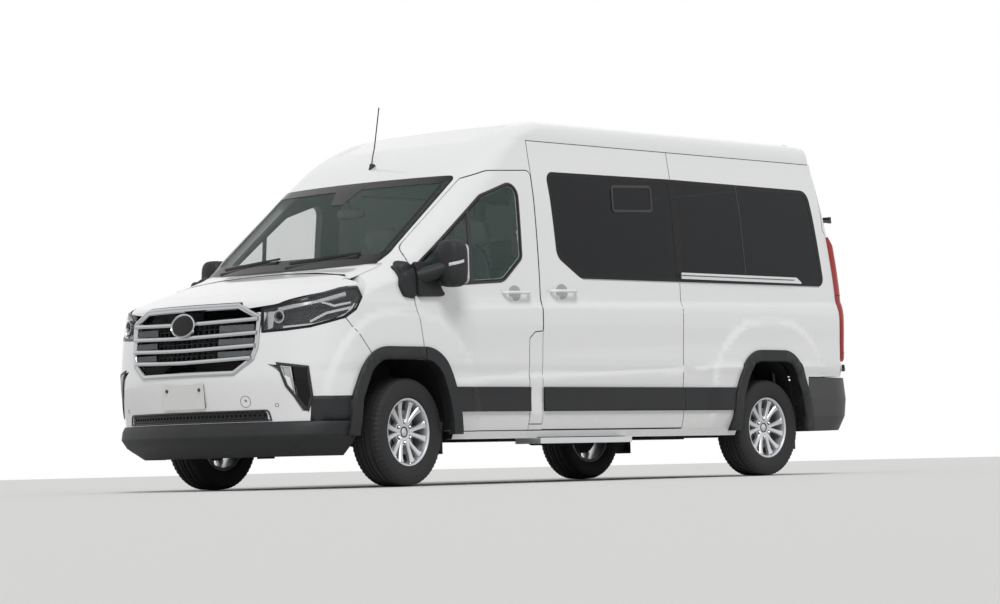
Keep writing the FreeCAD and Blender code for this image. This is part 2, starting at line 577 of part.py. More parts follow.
def build():
    """Every node of the minibus by name."""
    nodes = {}
    steering = STEER_AT_REST
    front_arch = prism_y(FRONT_ARCH, -1100, -560)
    rear_arch = prism_y(REAR_ARCH, -1100, -560)
    lamp = prism_y(HEADLAMP, -1100, -LAMP_INNER_Y)
    grille_zone = prism_x(GRILLE, -1200, -700)
    door_zone = prism_y(LEFT_DOOR, -1100, -PILLAR_Y + GAP, GAP)
    right_zone = mirrored(prism_y(RIGHT_DOOR, -1100, -PILLAR_Y + GAP, GAP))
    leaf_gap = prism_x(REAR_DOOR, 4300, 5000, GAP)

    # Roof behind the B seam, in two panels, each from the gutter up
    above = box(B_SEAM + SEAM / 2, C_SEAM - SEAM / 2, -1100, 1100, GUTTER_Z, 3000)
    ring_cap = prism_y(RING_CAP, -1100, 1100)
    behind = box(C_SEAM + SEAM / 2, RING_SEAM, -1100, 1100, GUTTER_Z, 3000)
    behind = behind.cut(prism_y(RING_CAP, -1100, 1100, SEAM))
    nodes["roof"] = solids_of(shell_part(above), shell_part(behind))

    # Cab frame: windscreen pillars, header and the roof's front cap
    cab = shell_part(box(-300, B_SEAM - SEAM / 2, -1100, 1100, COWL_Z, 3000))
    cab = cab.cut(door_zone).cut(right_zone)
    cab, windscreen = glaze(cab, prism_x(WINDSCREEN, -400, 1100), prism_x(WINDSCREEN, -400, 1100, -REBATE))
    cab = solids_of(*[s for s in cab.Solids if s.BoundBox.ZMax > 2000])
    nodes["cab_frame"] = cab
    nodes["windscreen"] = windscreen

    # Bonnet, cowl, wings, lamps, bumper and grille split the nose
    bonnet_side = [(-1300, 1029), (-931, 1145), (-717, 1212), (-499, 1270), (-375, 1290), (BONNET_REAR, 1445),
                   (BONNET_REAR, 1700), (-1300, 1700)]
    bonnet_zone = prism_y(bonnet_side, -1100, 1100)
    bonnet = shell_part(bonnet_zone).cut(grille_zone)
    for side in both_sides(box(-360, 0, -1100, -BONNET_SIDE_Y, 1000, 1600)):
        bonnet = bonnet.cut(side)
    nodes["bonnet"] = solids_of(max(bonnet.Solids, key=lambda s: s.Volume))
    bonnet_gap = prism_y(bonnet_side, -1100, 1100, GAP)

    cowl = shell_part(box(BONNET_REAR + GAP, 0, -BONNET_SIDE_Y, BONNET_SIDE_Y, 1300, COWL_Z - SEAM))
    cowl = cowl.cut(windscreen)
    arms = [tube((screen_x(y, 1452), y, 1452), (screen_x(y - 560, 1500), y - 560, 1500), 14)
            for y in (-60, 640)]
    cowl = max(cowl.Solids, key=lambda s: s.Volume)
    straps = [box(BONNET_REAR + SEAM, BONNET_REAR + GAP + 5, y - 17, y + 17, 1300, 1450).common(CORE)
              for y in (-560, 560)]
    cowl = cowl.fuse(straps)
    aerial = tube(AERIAL[0], AERIAL[2], 4).fuse(tube(AERIAL[0], AERIAL[1], 20)).cut(OUTER)
    nodes["cowl_and_wipers"] = solids_of(cowl, *[arm.cut(OUTER) for arm in arms], aerial)

    wing_side = BUMPER_SEAM + [(-325, 600), (140, 600), (140, COWL_Z - SEAM), (-180, COWL_Z - SEAM),
                               (-408, 1205), (-468, 1125)]
    wing = shell_part(prism_y(wing_side, -1100, -560)).cut(lamp).cut(front_arch).cut(door_zone)
    edge = -BONNET_SIDE_Y - GAP
    wing = wing.cut(prism_z([(-365, edge), (-365, 0), (100, 0), (100, edge)], 1000, 1600))
    wing = wing.cut(bonnet_gap.common(box(-1300, -365, -1100, 0, 900, 1700)))
    wing = max(wing.Solids, key=lambda s: s.Volume)
    wing = wing.fuse([strap_y(LEFT_DOOR, z) for z in (890, 1300)])
    nodes["front_wings"] = solids_of(*both_sides(wing))

    lamp_body = shell_part(lamp).cut(grille_zone)
    lamp_body = lamp_body.cut(bonnet_gap)
    lamp_body = max(lamp_body.Solids, key=lambda s: s.Volume)
    fog_zone = prism_x(FOG_LAMP, -1000, -560)
    fog = shell_part(prism_x(FOG_LAMP, -1000, -560, -SEAM))
    fog = max(fog.Solids, key=lambda s: s.Volume)
    nodes["front_lamps"] = solids_of(*both_sides(lamp_body), *both_sides(fog))

    bumper_side = [(-1300, BLACK_LINE), (FOG_EDGE, BLACK_LINE), (FOG_EDGE, BLACK_CORNER), (-325, BLACK_CORNER)]
    bumper_side += BUMPER_SEAM[::-1] + [(-760, 1120), (-1300, 1120)]
    bumper = shell_part(prism_y(bumper_side, -1100, 1100))
    intake = prism_x(LOWER_INTAKE, -1200, -800)
    pairs = both_sides(lamp) + both_sides(front_arch) + both_sides(fog_zone)
    for cutter in pairs + [grille_zone, bonnet_gap, intake]:
        bumper = bumper.cut(cutter)
    bumper = max(bumper.Solids, key=lambda s: s.Volume)
    for y in (-PLATE_HOLE_Y, PLATE_HOLE_Y):
        bumper = bumper.cut(tube((-1100, y, PLATE_HOLE_Z), (-1000, y, PLATE_HOLE_Z), PLATE_HOLE_RADIUS))
    bumper = bumper.cut(tube((-1100, FRONT_EYE[1], FRONT_EYE[2]), FRONT_EYE, EYE_RADIUS))
    nodes["front_bumper"] = solids_of(bumper)

    rim_zone = prism_x(GRILLE, -1200, -700, -GRILLE_RIM)
    inside = prism_x(GRILLE, -1200, -700, -GRILLE_FRAME)
    bar_room = prism_x(GRILLE, -1200, -700, 0.2 - GRILLE_FRAME)
    bars = [bar_room.common(box(-1200, -700, -700, 700, z - BAR_HALF, z + BAR_HALF)) for z in BAR_HEIGHTS]
    facing = UNDER_GLASS.cut(BACKING).common(rim_zone.cut(inside).fuse(bars))
    nodes["grille"] = shell_part(grille_zone).cut(rim_zone).fuse([facing, badge()])
    lattice = CORE.common(grille_ribs(inside)).cut(badge(SEAM))

    # Black lower bumper, arch trims, rubbing strips and mud flaps that stay on the body
    lip = sections_solid(LIP_SECTIONS).cut(sections_solid(LIP_SECTIONS, WALL))
    lip = lip.common(box(-1300, -300, -1100, 1100, 200, BLACK_LINE - SEAM))
    corner = shell_part(side_box(FOG_EDGE + SEAM, -300, BLACK_LINE, BLACK_CORNER - SEAM))
    pieces = [lip]
    for cutter in both_sides(front_arch):
        pieces = [piece.cut(cutter) for piece in pieces]
    corner = corner.cut(front_arch).cut(fog_zone)
    lip = pieces[0].fuse(both_sides(corner))
    front_trim = arch_ring(FRONT_ARCH)
    split = prism_y([(66, 1190), (118, 930), (134, 820), (134, 300), (900, 300), (900, 1190)], -1100, -560)
    fixed_zone = prism_y([(66 - GAP, 1190), (118 - GAP, 930), (134 - GAP, 820), (134 - GAP, 300),
                          (900, 300), (900, 1190)], -1100, -560)
    front_half = front_trim.cut(fixed_zone)
    door_half = front_trim.common(split)
    rear_trim = arch_ring(REAR_ARCH)
    fixed = [lip] + both_sides(front_half.cut(lip)) + both_sides(rear_trim)
    strip_rear = strip(C_SEAM + 3, 3400).cut(prism_y(REAR_ARCH, -1100, -560, TRIM_WIDTH))
    sliding_strip = strip(B_SEAM + 3, C_SEAM - 3)
    fixed += both_sides(strip_rear) + both_sides(sliding_strip)
    flaps = [box(412, 420, -885, -715, 205, HOUSE_FOOT - SEAM),
             box(4176, 4184, -885, -715, 190, FLOOR[0] - SEAM)]
    fixed += [m for f in flaps for m in both_sides(f)]
    corner_cover = prism_y(MIRROR_CORNER, -COVER_Y, -900).cut(OUTER).cut(door_zone)
    fixed += both_sides(max(corner_cover.Solids, key=lambda s: s.Volume))
    fixed += [lattice, CORE.common(prism_x(LOWER_INTAKE, -1200, -800, -SEAM))]
    nodes["lower_trim"] = solids_of(*fixed)

    # Front doors with their glass and cladding
    for side, outline in (("left", LEFT_DOOR), ("right", RIGHT_DOOR)):
        turn = mirrored if side == "right" else (lambda shape: shape)
        door = shell_part(prism_y(outline, -1100, -PILLAR_Y)).cut(prism_y(FRONT_ARCH, -1100, -560))
        door, glass = glaze_side(door, FRONT_WINDOW)
        door = max(door.Solids, key=lambda s: s.Volume)
        end = DOOR_NOTCH - GAP if side == "left" else B_SEAM - GAP
        band = strip(300, end).cut(prism_y(FRONT_ARCH, -1100, -560, TRIM_WIDTH))
        band = max(band.Solids, key=lambda s: s.Volume)
        posts = [box(880, 900, -1040, -990, 1255, 1283), box(1090, 1110, -1040, -990, 1255, 1283)]
        handle = box(870, 1120, -1056, -1038, 1250, 1288).fuse(posts).cut(OUTER)
        nodes["front_door_" + side] = turn(solids_of(door, handle))
        nodes["front_glass_" + side] = turn(solids_of(glass))
        head = prism_y(MIRROR_SIDE, -1300, -1000).common(prism_z(MIRROR_PLAN, 1200, 1700))
        head = head.common(prism_x(MIRROR_FACE, 100, 500))
        mirror = prism_y(MIRROR_FOOT, -MIRROR_FOOT_Y, -960).cut(OUTER).fuse(head)
        nodes["door_trim_" + side] = turn(solids_of(door_half, band, mirror))

    # Sliding door, fixed shut, and the body sides
    sliding = shell_part(side_box(B_SEAM + SEAM, C_SEAM - SEAM, DOOR_BOTTOM, GUTTER_Z - SEAM))
    sliding, sliding_glass = glaze_side(sliding, SLIDING_WINDOW)
    posts = [box(1340, 1360, -1040, -990, 1267, 1295), box(1550, 1570, -1040, -990, 1267, 1295)]
    handle = box(1330, 1580, -1056, -1038, 1262, 1300).fuse(posts).cut(OUTER)
    nodes["sliding_door"] = solids_of(sliding, handle)

    ring_cut = prism_y(RING_LEG, -1100, 1100)
    rear_core = box(4400, 5000, -RING_Y, RING_Y, 722, GUTTER_Z)
    rear_low = box(REAR_BUMPER_FRONT, 5200, -1100, 1100, 0, 722)
    left = shell_part(side_box(C_SEAM, 4700, SILL[1] + SEAM, GUTTER_Z - SEAM)).cut(rear_arch)
    left = left.cut(ring_cut).cut(rear_low)
    left = left.cut(rear_core)
    left, left_glass = glaze_side(left, REAR_WINDOW)
    post = shell_part(side_box(DOOR_NOTCH, B_SEAM - SEAM, DOOR_BOTTOM, 1012))
    post = post.cut(prism_y(FUEL_FLAP, -1100, -960, GAP))
    post = max(post.cut(door_zone).Solids, key=lambda s: s.Volume)
    post = post.fuse(box(B_SEAM - GAP + SEAM, B_SEAM - SEAM, -1000, -955, 700, 700 + STRAP))
    nodes["side_left"] = solids_of(max(left.Solids, key=lambda s: s.Volume), post)
    right = shell_part(side_box(B_SEAM + SEAM, 4700, SILL[1] + SEAM, GUTTER_Z - SEAM)).cut(rear_arch)
    right = right.cut(ring_cut).cut(rear_low)
    right = right.cut(rear_core)
    right, right_front_glass = glaze_side(right, SLIDING_WINDOW)
    right, right_rear_glass = glaze_side(right, REAR_WINDOW)
    nodes["side_right"] = solids_of(mirrored(max(right.Solids, key=lambda s: s.Volume)))
    nodes["side_windows"] = solids_of(sliding_glass, left_glass, mirrored(right_front_glass),
                                      mirrored(right_rear_glass))

    # Rear ring, tail lamps, doors and bumper
    rear_zone = ring_cut.fuse([ring_cap, rear_core])
    ring = shell_part(rear_zone)
    for cutter in both_sides(leaf_gap):
        ring = ring.cut(cutter)
    ring = ring.cut(box(4200, 5000, -LEAF_GAP, LEAF_GAP, 742 - GAP, 2165 + GAP))
    tail_zone = box(TAIL_LAMP[0], 5000, -1100, -907, TAIL_LAMP[1], TAIL_LAMP[2])
    tail = ring.common(tail_zone)
    ring = ring.cut(tail_zone).cut(mirrored(tail_zone))
    ring = max(ring.Solids, key=lambda s: s.Volume)
    for x, z, edge in REAR_HINGES:
        bracket = box(x - 100, x, -REAR_HINGE_Y - 10, -REAR_HINGE_Y + 10, z - 2 - HINGE_PLATE, z - 2)
        bracket = bracket.cut(INNER).fuse(rear_knuckle(x, z, -KNUCKLE, -SEAM / 2))
        ring = ring.fuse(both_sides(bracket))
    nodes["rear_frame"] = ring
    nodes["tail_lamps"] = solids_of(*both_sides(max(tail.Solids, key=lambda s: s.Volume)))
    leaf_zone = prism_x(REAR_DOOR, 4380, 5000)
    leaf = shell_part(leaf_zone, rear_zone)
    leaf, leaf_glass = glaze(leaf, prism_x(REAR_GLASS, 4380, 5000), prism_x(REAR_GLASS, 4300, 5000, -REBATE))
    leaf = max(leaf.Solids, key=lambda s: s.Volume)
    for x, z, edge in REAR_HINGES:
        leaf = leaf.fuse([rear_strap(x, z, edge), rear_knuckle(x, z, SEAM / 2, KNUCKLE)])
    nodes["rear_door_left"] = leaf
    nodes["rear_door_right"] = mirrored(leaf)
    nodes["rear_glass_left"] = leaf_glass
    nodes["rear_glass_right"] = mirrored(leaf_glass)
    rear_bumper = sections_solid(REAR_BUMPER_SECTIONS).cut(sections_solid(REAR_BUMPER_SECTIONS, WALL))
    rear_bumper = rear_bumper.common(box(REAR_BUMPER_FRONT, 5200, -1100, 1100, 300, 800))
    rear_bumper = rear_bumper.cut(tube(REAR_EYE, (5000, REAR_EYE[1], REAR_EYE[2]), EYE_RADIUS))
    nodes["rear_bumper"] = rear_bumper.cut(prism_y(REAR_ARCH, -1100, 1100, TRIM_WIDTH + SEAM))

    flap = OUTER.cut(hull(FLAP_DEPTH)).common(prism_y(FUEL_FLAP, -1100, -900))
    nodes["fuel_flap"] = max(flap.Solids, key=lambda s: s.Volume)

    # Floor, sills, frame and running gear
    sill = shell_part(side_box(430, 3380, *SILL))
    deck = box(400, 4600, -938, 938, *FLOOR).fuse(box(-150, 400, -520, 520, *FLOOR))
    steer_space = prism_y(FRONT_ARCH, -950, -525 - HOUSE_WALL, STEER_ROOM)
    house_seat = prism_y(FRONT_ARCH, -950, SEAM - 525, STEER_ROOM + HOUSE_WALL + SEAM)
    for cutter in both_sides(box(3345, 4172, -938, -617, 500, 600)) + both_sides(house_seat):
        deck = deck.cut(cutter)
    nodes["floor"] = solids_of(deck)
    nodes["side_left"] = solids_of(nodes["side_left"], sill)
    nodes["side_right"] = solids_of(nodes["side_right"], mirrored(sill))
    house = prism_y(REAR_ARCH, -935, -618, 2 + HOUSE_WALL).cut(prism_y(REAR_ARCH, -950, -630, 2))
    house = house.common(box(3000, 4400, -940, -600, 400, 900))
    cab_house = prism_y(FRONT_ARCH, -935, -525, STEER_ROOM + HOUSE_WALL).cut(steer_space)
    cab_house = cab_house.common(box(-600, 500, -940, -500, HOUSE_FOOT, 900))
    nodes["wheel_houses"] = solids_of(*both_sides(house.common(INNER)), *both_sides(cab_house.common(INNER)))

    rails = []
    for side in (-1, 1):
        inner, outer = sorted((side * RAIL[0], side * RAIL[1]))
        rails.append(box(-700, 4600, inner, outer, RAIL[2], RAIL[3]))
    crosses = [box(x, x + 90, -RAIL[0], RAIL[0], RAIL[2] + 20, RAIL[3] - 20)
               for x in (-690, 420, 1400, 2600, 4300)]
    subframe = box(-220, 220, -RAIL[1], RAIL[1], 270, RAIL[2])
    arms = [tube((0, side * 440, 290), (0, side * KINGPIN_Y, 240), 20) for side in (-1, 1)]
    joints = [tube((0, side * KINGPIN_Y, 222), (0, side * KINGPIN_Y, KNUCKLE_FOOT - SEAM), 28)
              for side in (-1, 1)]
    nodes["chassis"] = rails[0].fuse(rails[1:] + crosses + [subframe] + arms + joints)
    nodes["engine_block"] = box(-600, -160, -360, 360, RAIL[3] + SEAM, 1000).fuse(
        [box(-450, -390, s * 400 - 45, s * 400 + 45, RAIL[3] + SEAM, 548) for s in (-1, 1)])
    left_knuckle = knuckle()
    right_knuckle = mirrored(left_knuckle)
    for piece, side in ((left_knuckle, -1), (right_knuckle, 1)):
        piece.rotate(V(at(0), side * KINGPIN_Y, 0), V(0, 0, 1), steering)
    nodes["knuckle_left"] = left_knuckle
    nodes["knuckle_right"] = right_knuckle
    face = TRACK_REAR / 2 + RIM_WIDTH / 2 - 30 - 62
    beam = tube((WHEELBASE, -face + 70, TYRE_RADIUS), (WHEELBASE, face - 70, TYRE_RADIUS), 46)
    hubs = [tube((WHEELBASE, s * (face - 0.3), TYRE_RADIUS), (WHEELBASE, s * (face - 72), TYRE_RADIUS), 60)
            for s in (-1, 1)]
    discs = [tube((WHEELBASE, s * (face - 12), TYRE_RADIUS), (WHEELBASE, s * (face - 36), TYRE_RADIUS), 150)
             for s in (-1, 1)]
    springs = [box(3080, 4440, s * 418 - 30, s * 418 + 30, 288, 308) for s in (-1, 1)]
    hangers = [box(x, x + 40, s * 418 - 30, s * 418 + 30, 288, RAIL[2] - SEAM)
               for s in (-1, 1) for x in (3080, 4400)]
    nodes["rear_axle"] = beam.fuse(hubs + discs + springs + hangers)

    tyre_solid = tyre()
    rim_solid = rim()
    wheels = (("front_left", 0, -TRACK_FRONT / 2, steering), ("front_right", 0, TRACK_FRONT / 2, steering),
              ("rear_left", WHEELBASE, -TRACK_REAR / 2, 0), ("rear_right", WHEELBASE, TRACK_REAR / 2, 0))
    for name, x, y, steer in wheels:
        nodes["tyre_" + name] = set_wheel(tyre_solid, x, y, steer)
        nodes["rim_" + name] = set_wheel(rim_solid, x, y, steer)

    nodes["fuel_tank"] = box(1500, 2500, -RAIL[0] + SEAM, 200, 290, RAIL[2] + 60)
    silencer = tube((2600, 300, 340), (3100, 300, 340), SILENCER)
    nodes["exhaust"] = tube((300, 300, 340), (3000, 300, 340), 32).fuse(silencer)
    step = box(1215, 2155, -1030, -800, 262, SILL[0] - SEAM)
    rail = prism_y([(C_SEAM + 4, 1406), (C_SEAM + 4, 1450), (4090, 1450, 20), (4150, 1414, 8),
                    (4146, 1406)], -1014, -980)
    rail = rail.cut(OUTER)
    nodes["step_and_rail"] = solids_of(step, rail)

    # Cab and cabin
    dash = prism_y([(-60, 1000), (-60, 1330, 60), (60, 1400, 60), (330, 1340, 60), (380, 1180, 60),
                    (250, 1000)], -880, 880)
    lean = math.radians(COLUMN_TILT)
    column = [(STEERING_WHEEL[0] - reach * math.sin(lean), STEERING_WHEEL[1],
               STEERING_WHEEL[2] - reach * math.cos(lean)) for reach in (260, 30 + SEAM)]
    nodes["dashboard"] = dash.common(INNER).fuse(tube(column[0], column[1], 28))
    corners = [math.radians(22.5 + 45 * i) for i in range(8)]
    section = flat([(STEERING_RADIUS + 16 * math.cos(a), 16 * math.sin(a)) for a in corners])
    section.rotate(V(0, 0, 0), V(1, 0, 0), 90)
    wheel_ring = section.revolve(V(0, 0, 0), V(0, 0, 1), 360)
    boss = Part.makeCylinder(60, 40, V(0, 0, -30))
    across = Part.makeBox(36, 2 * STEERING_RADIUS, 14, V(-18, -STEERING_RADIUS, -14))
    down = Part.makeBox(STEERING_RADIUS, 36, 14, V(0, -18, -14))
    whole = wheel_ring.fuse([boss, across, down])
    whole.rotate(V(0, 0, 0), V(0, 1, 0), COLUMN_TILT)
    whole.translate(V(at(STEERING_WHEEL[0]), STEERING_WHEEL[1], STEERING_WHEEL[2]))
    nodes["steering_wheel"] = whole
    floor = FLOOR[1]
    nodes["cab_seats"] = solids_of(seat(620, 430, 500, 480, floor, 60), seat(620, -430, 500, 480, floor, 60))
    rows = []
    for x, lift, places in SEAT_ROWS:
        for y in places:
            shift = math.copysign(140.0, -y) if lift and abs(y) > 500 else 0.0
            rows.append(seat(x, y, 440, 420, floor, lift, shift))
    nodes["passenger_seats"] = solids_of(*rows)
    return nodes


def write(name, shape):
    """Save one piece under its node's name."""
    solids = shape.Solids
    whole = solids[0] if len(solids) == 1 else Part.makeCompound(solids)
    whole.exportStep("parts/" + name + ".step")


def main():
    os.makedirs("parts", exist_ok=True)
    for name, shape in build().items():
        write(name, shape)
        print(name, len(shape.Solids), shape.isValid(), round(shape.Volume / 1e6, 1))


main()
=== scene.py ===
import json
import math

import bpy
import numpy as np
from mathutils import Matrix, Vector


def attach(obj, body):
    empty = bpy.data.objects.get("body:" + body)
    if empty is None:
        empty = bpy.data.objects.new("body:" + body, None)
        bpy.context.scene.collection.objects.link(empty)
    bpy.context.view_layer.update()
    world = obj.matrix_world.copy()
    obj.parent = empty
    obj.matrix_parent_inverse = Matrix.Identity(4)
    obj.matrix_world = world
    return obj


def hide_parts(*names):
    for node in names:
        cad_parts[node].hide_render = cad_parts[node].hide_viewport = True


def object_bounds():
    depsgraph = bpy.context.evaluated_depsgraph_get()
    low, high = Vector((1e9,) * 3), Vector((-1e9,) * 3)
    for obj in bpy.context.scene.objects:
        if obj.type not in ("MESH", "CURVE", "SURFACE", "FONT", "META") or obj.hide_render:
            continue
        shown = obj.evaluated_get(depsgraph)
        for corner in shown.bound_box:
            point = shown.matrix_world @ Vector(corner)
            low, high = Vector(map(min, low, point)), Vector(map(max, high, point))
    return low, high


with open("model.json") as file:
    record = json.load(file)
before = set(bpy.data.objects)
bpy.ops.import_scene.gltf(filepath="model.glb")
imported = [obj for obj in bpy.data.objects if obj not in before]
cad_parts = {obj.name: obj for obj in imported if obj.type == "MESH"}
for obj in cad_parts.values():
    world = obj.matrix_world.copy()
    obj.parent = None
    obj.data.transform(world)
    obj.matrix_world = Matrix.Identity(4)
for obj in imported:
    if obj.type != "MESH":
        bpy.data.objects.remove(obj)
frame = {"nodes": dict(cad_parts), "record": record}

nodes = frame["nodes"]
cad_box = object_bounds()
scene = bpy.context.scene

# Metres. The nose points to -X, the vehicle's right is +Y, the ground is z = 0.
FRONT_AXLE = -1.920
WHEELBASE = 3.760
REAR_AXLE = FRONT_AXLE + WHEELBASE
TYRE_RADIUS = 0.350
GUTTER_Z = 2.312
ROOF_Z = 2.535


def at(x):
    """Place along the vehicle from the front axle, as the frame's x."""
    return x + FRONT_AXLE


# Camera: fitted on the wheels, the grille, the seams and the roof line
CAMERA_PLACE = (-16.366, -15.172, 0.132)
CAMERA_YAW = math.radians(42.759)
CAMERA_PITCH = math.radians(2.935)
CAMERA_ROLL = math.radians(-1.370)
FOCAL_PIXELS = 3156.4


def set_camera():
    """Camera whose axes come from yaw, then pitch, then roll about its own view line."""
    flat = math.cos(CAMERA_PITCH)
    ahead = Vector((flat * math.cos(CAMERA_YAW), flat * math.sin(CAMERA_YAW), math.sin(CAMERA_PITCH)))
    right = Vector((math.sin(CAMERA_YAW), -math.cos(CAMERA_YAW), 0.0))
    up = right.cross(ahead)
    turned_right = right * math.cos(CAMERA_ROLL) + up * math.sin(CAMERA_ROLL)
    turned_up = up * math.cos(CAMERA_ROLL) - right * math.sin(CAMERA_ROLL)
    data = bpy.data.cameras.new("photo_camera")
    data.sensor_width = 36.0
    data.lens = FOCAL_PIXELS / 1000.0 * data.sensor_width
    data.clip_end = 200.0
    camera = bpy.data.objects.new("photo_camera", data)
    scene.collection.objects.link(camera)
    turn = Matrix((turned_right, turned_up, -ahead)).transposed()
    camera.matrix_world = Matrix.Translation(CAMERA_PLACE) @ turn.to_4x4()
    scene.camera = camera


# The body's form: plan sections from the sill to the roof, joined by smooth curves
# height, nose x, half width, nose radius, front corner radius, tail x, rear corner radius
SECTIONS = np.array([
    (0.300, -0.985, 0.958, 1.9, 0.400, 4.610, 0.080),
    (0.385, -1.010, 0.988, 1.9, 0.410, 4.640, 0.090),
    (0.470, -1.015, 1.003, 1.9, 0.420, 4.655, 0.090),
    (0.720, -1.040, 1.003, 1.9, 0.420, 4.662, 0.090),
    (0.800, -1.035, 1.012, 1.9, 0.420, 4.662, 0.090),
    (1.000, -1.015, 1.016, 1.9, 0.420, 4.660, 0.090),
    (1.170, -0.985, 1.013, 1.9, 0.420, 4.652, 0.090),
    (1.250, -0.800, 1.002, 2.1, 0.420, 4.647, 0.090),
    (1.360, -0.420, 0.999, 2.6, 0.400, 4.640, 0.090),
    (1.430, -0.200, 0.996, 3.2, 0.360, 4.632, 0.090),
    (1.560, -0.043, 0.989, 3.2, 0.345, 4.615, 0.090),
    (1.900, 0.369, 0.963, 3.2, 0.333, 4.560, 0.090),
    (2.060, 0.562, 0.940, 3.2, 0.320, 4.530, 0.090),
    (2.310, 0.950, 0.899, 3.2, 0.200, 4.490, 0.090),
    (2.440, 1.290, 0.885, 3.2, 0.200, 4.470, 0.090),
    (2.500, 1.640, 0.880, 3.2, 0.200, 4.455, 0.090),
    (2.540, 2.200, 0.878, 3.2, 0.200, 4.440, 0.090),
])


def slopes(z, v):
    """Slope at each section for a curve through them with no overshoot: a weighted harmonic mean of the
    slopes on both sides, or nothing where they change sign."""
    h = np.diff(z)[:, None]
    d = np.diff(v, axis=0) / h
    w1 = 2 * h[1:] + h[:-1]
    w2 = h[1:] + 2 * h[:-1]
    same = d[:-1] * d[1:] > 0
    safe = np.where(same, w1 / np.where(same, d[:-1], 1) + w2 / np.where(same, d[1:], 1), 1)
    inner = np.where(same, (w1 + w2) / safe, 0.0)
    return np.vstack([d[:1], inner, d[-1:]])


SECTION_SLOPES = slopes(SECTIONS[:, 0], SECTIONS[:, 1:])


def straight_rows(z):
    """Section values at heights z, in straight lines from one section to the next."""
    return [np.interp(z, SECTIONS[:, 0], SECTIONS[:, k]) for k in range(1, 7)]


def smooth_rows(z):
    """Section values at heights z on cubic curves that pass through each section."""
    heights = SECTIONS[:, 0]
    z = np.clip(z, heights[0], heights[-1])
    i = np.clip(np.searchsorted(heights, z) - 1, 0, len(heights) - 2)
    h = heights[i + 1] - heights[i]
    t = (z - heights[i]) / h
    values = []
    for k in range(6):
        a, b = SECTIONS[i, k + 1], SECTIONS[i + 1, k + 1]
        ma, mb = SECTION_SLOPES[i, k] * h, SECTION_SLOPES[i + 1, k] * h
        values.append(a + t * ma + t * t * (3 * (b - a) - 2 * ma - mb) + t ** 3 * (2 * (a - b) + ma + mb))
    return values


def plan_distance(x, y, rows):
    """How far (x from the front axle, y) lies outside the plan section, by its nearest part: nose arc,
    corner arc, straight side, rear corner arc or tail."""
    nose, half, nose_r, corner, tail, tail_r = rows
    y = np.abs(y)
    front = nose + nose_r
    reach = np.sqrt((nose_r - corner) ** 2 - (half - corner) ** 2)
    corner_x, corner_y = front - reach, half - corner
    on_nose = np.hypot(x - front, y) - nose_r
    on_corner = np.hypot(x - corner_x, y - corner_y) - corner
    on_side = y - half
    ahead = np.where(y * reach < corner_y * (front - x), on_nose, np.where(x < corner_x, on_corner, on_side))
    rear_x, rear_y = tail - tail_r, half - tail_r
    on_rear = np.hypot(x - rear_x, y - rear_y) - tail_r
    behind = np.where((x > rear_x) & (y > rear_y), on_rear, np.maximum(on_side, x - tail))
    return np.where(x < 2.4, ahead, behind)


def circle_through(a, b, c):
    """Centre and radius of the circle through three points of a plane."""
    m = np.array([[2 * (b[0] - a[0]), 2 * (b[1] - a[1])], [2 * (c[0] - a[0]), 2 * (c[1] - a[1])]])
    v = np.array([b[0] ** 2 + b[1] ** 2 - a[0] ** 2 - a[1] ** 2,
                  c[0] ** 2 + c[1] ** 2 - a[0] ** 2 - a[1] ** 2])
    centre = np.linalg.solve(m, v)
    return centre[0], centre[1], math.hypot(a[0] - centre[0], a[1] - centre[1])


SHOULDER = (0.840, 2.446)
GUTTER_Y = 0.893
TOP_ARC = circle_through((-SHOULDER[0], SHOULDER[1]), (0, ROOF_Z), SHOULDER)
MID_SHOULDER = ((SHOULDER[0] + GUTTER_Y) / 2 + 0.017, (SHOULDER[1] + GUTTER_Z) / 2 + 0.017)
SIDE_ARC = circle_through(SHOULDER, MID_SHOULDER, (GUTTER_Y, GUTTER_Z))


def crown_distances(y, z):
    """How far (y, z) lies outside the roof's wide top arc and its side arc."""
    y = np.abs(y)
    top = np.hypot(y - TOP_ARC[0], z - TOP_ARC[1]) - TOP_ARC[2]
    side = np.hypot(y - SIDE_ARC[0], z - SIDE_ARC[1]) - SIDE_ARC[2]
    return top, side


def soft_max(a, b, k):
    """Larger of a and b, with the corner between them rounded over k."""
    h = np.clip(0.5 + 0.5 * (a - b) / k, 0, 1)
    return b + (a - b) * h + k * h * (1 - h)


def smooth_step(a, b, t):
    """0 below a, 1 above b, with a smooth run between."""
    s = np.clip((t - a) / (b - a), 0, 1)
    return s * s * (3 - 2 * s)


def arch_span(x, z, centre, half, top, power):
    """Distance outside a wheel arch's rounded outline, about its axle's place, as a super-ellipse."""
    dx = np.abs(x - centre) / half
    dz = np.clip(z - 0.30, 0, None) / (top - 0.30)
    reach = (dx ** power + dz ** power) ** (1 / power)
    return (reach - 1) * half


def shelf(above, proud, rise, fall):
    """A pressed ledge: nothing above its line, then out over a short rise below it and slowly back in."""
    out = smooth_step(0.004, -rise, above)
    return proud * out * (1 - smooth_step(rise, rise + fall, -above))


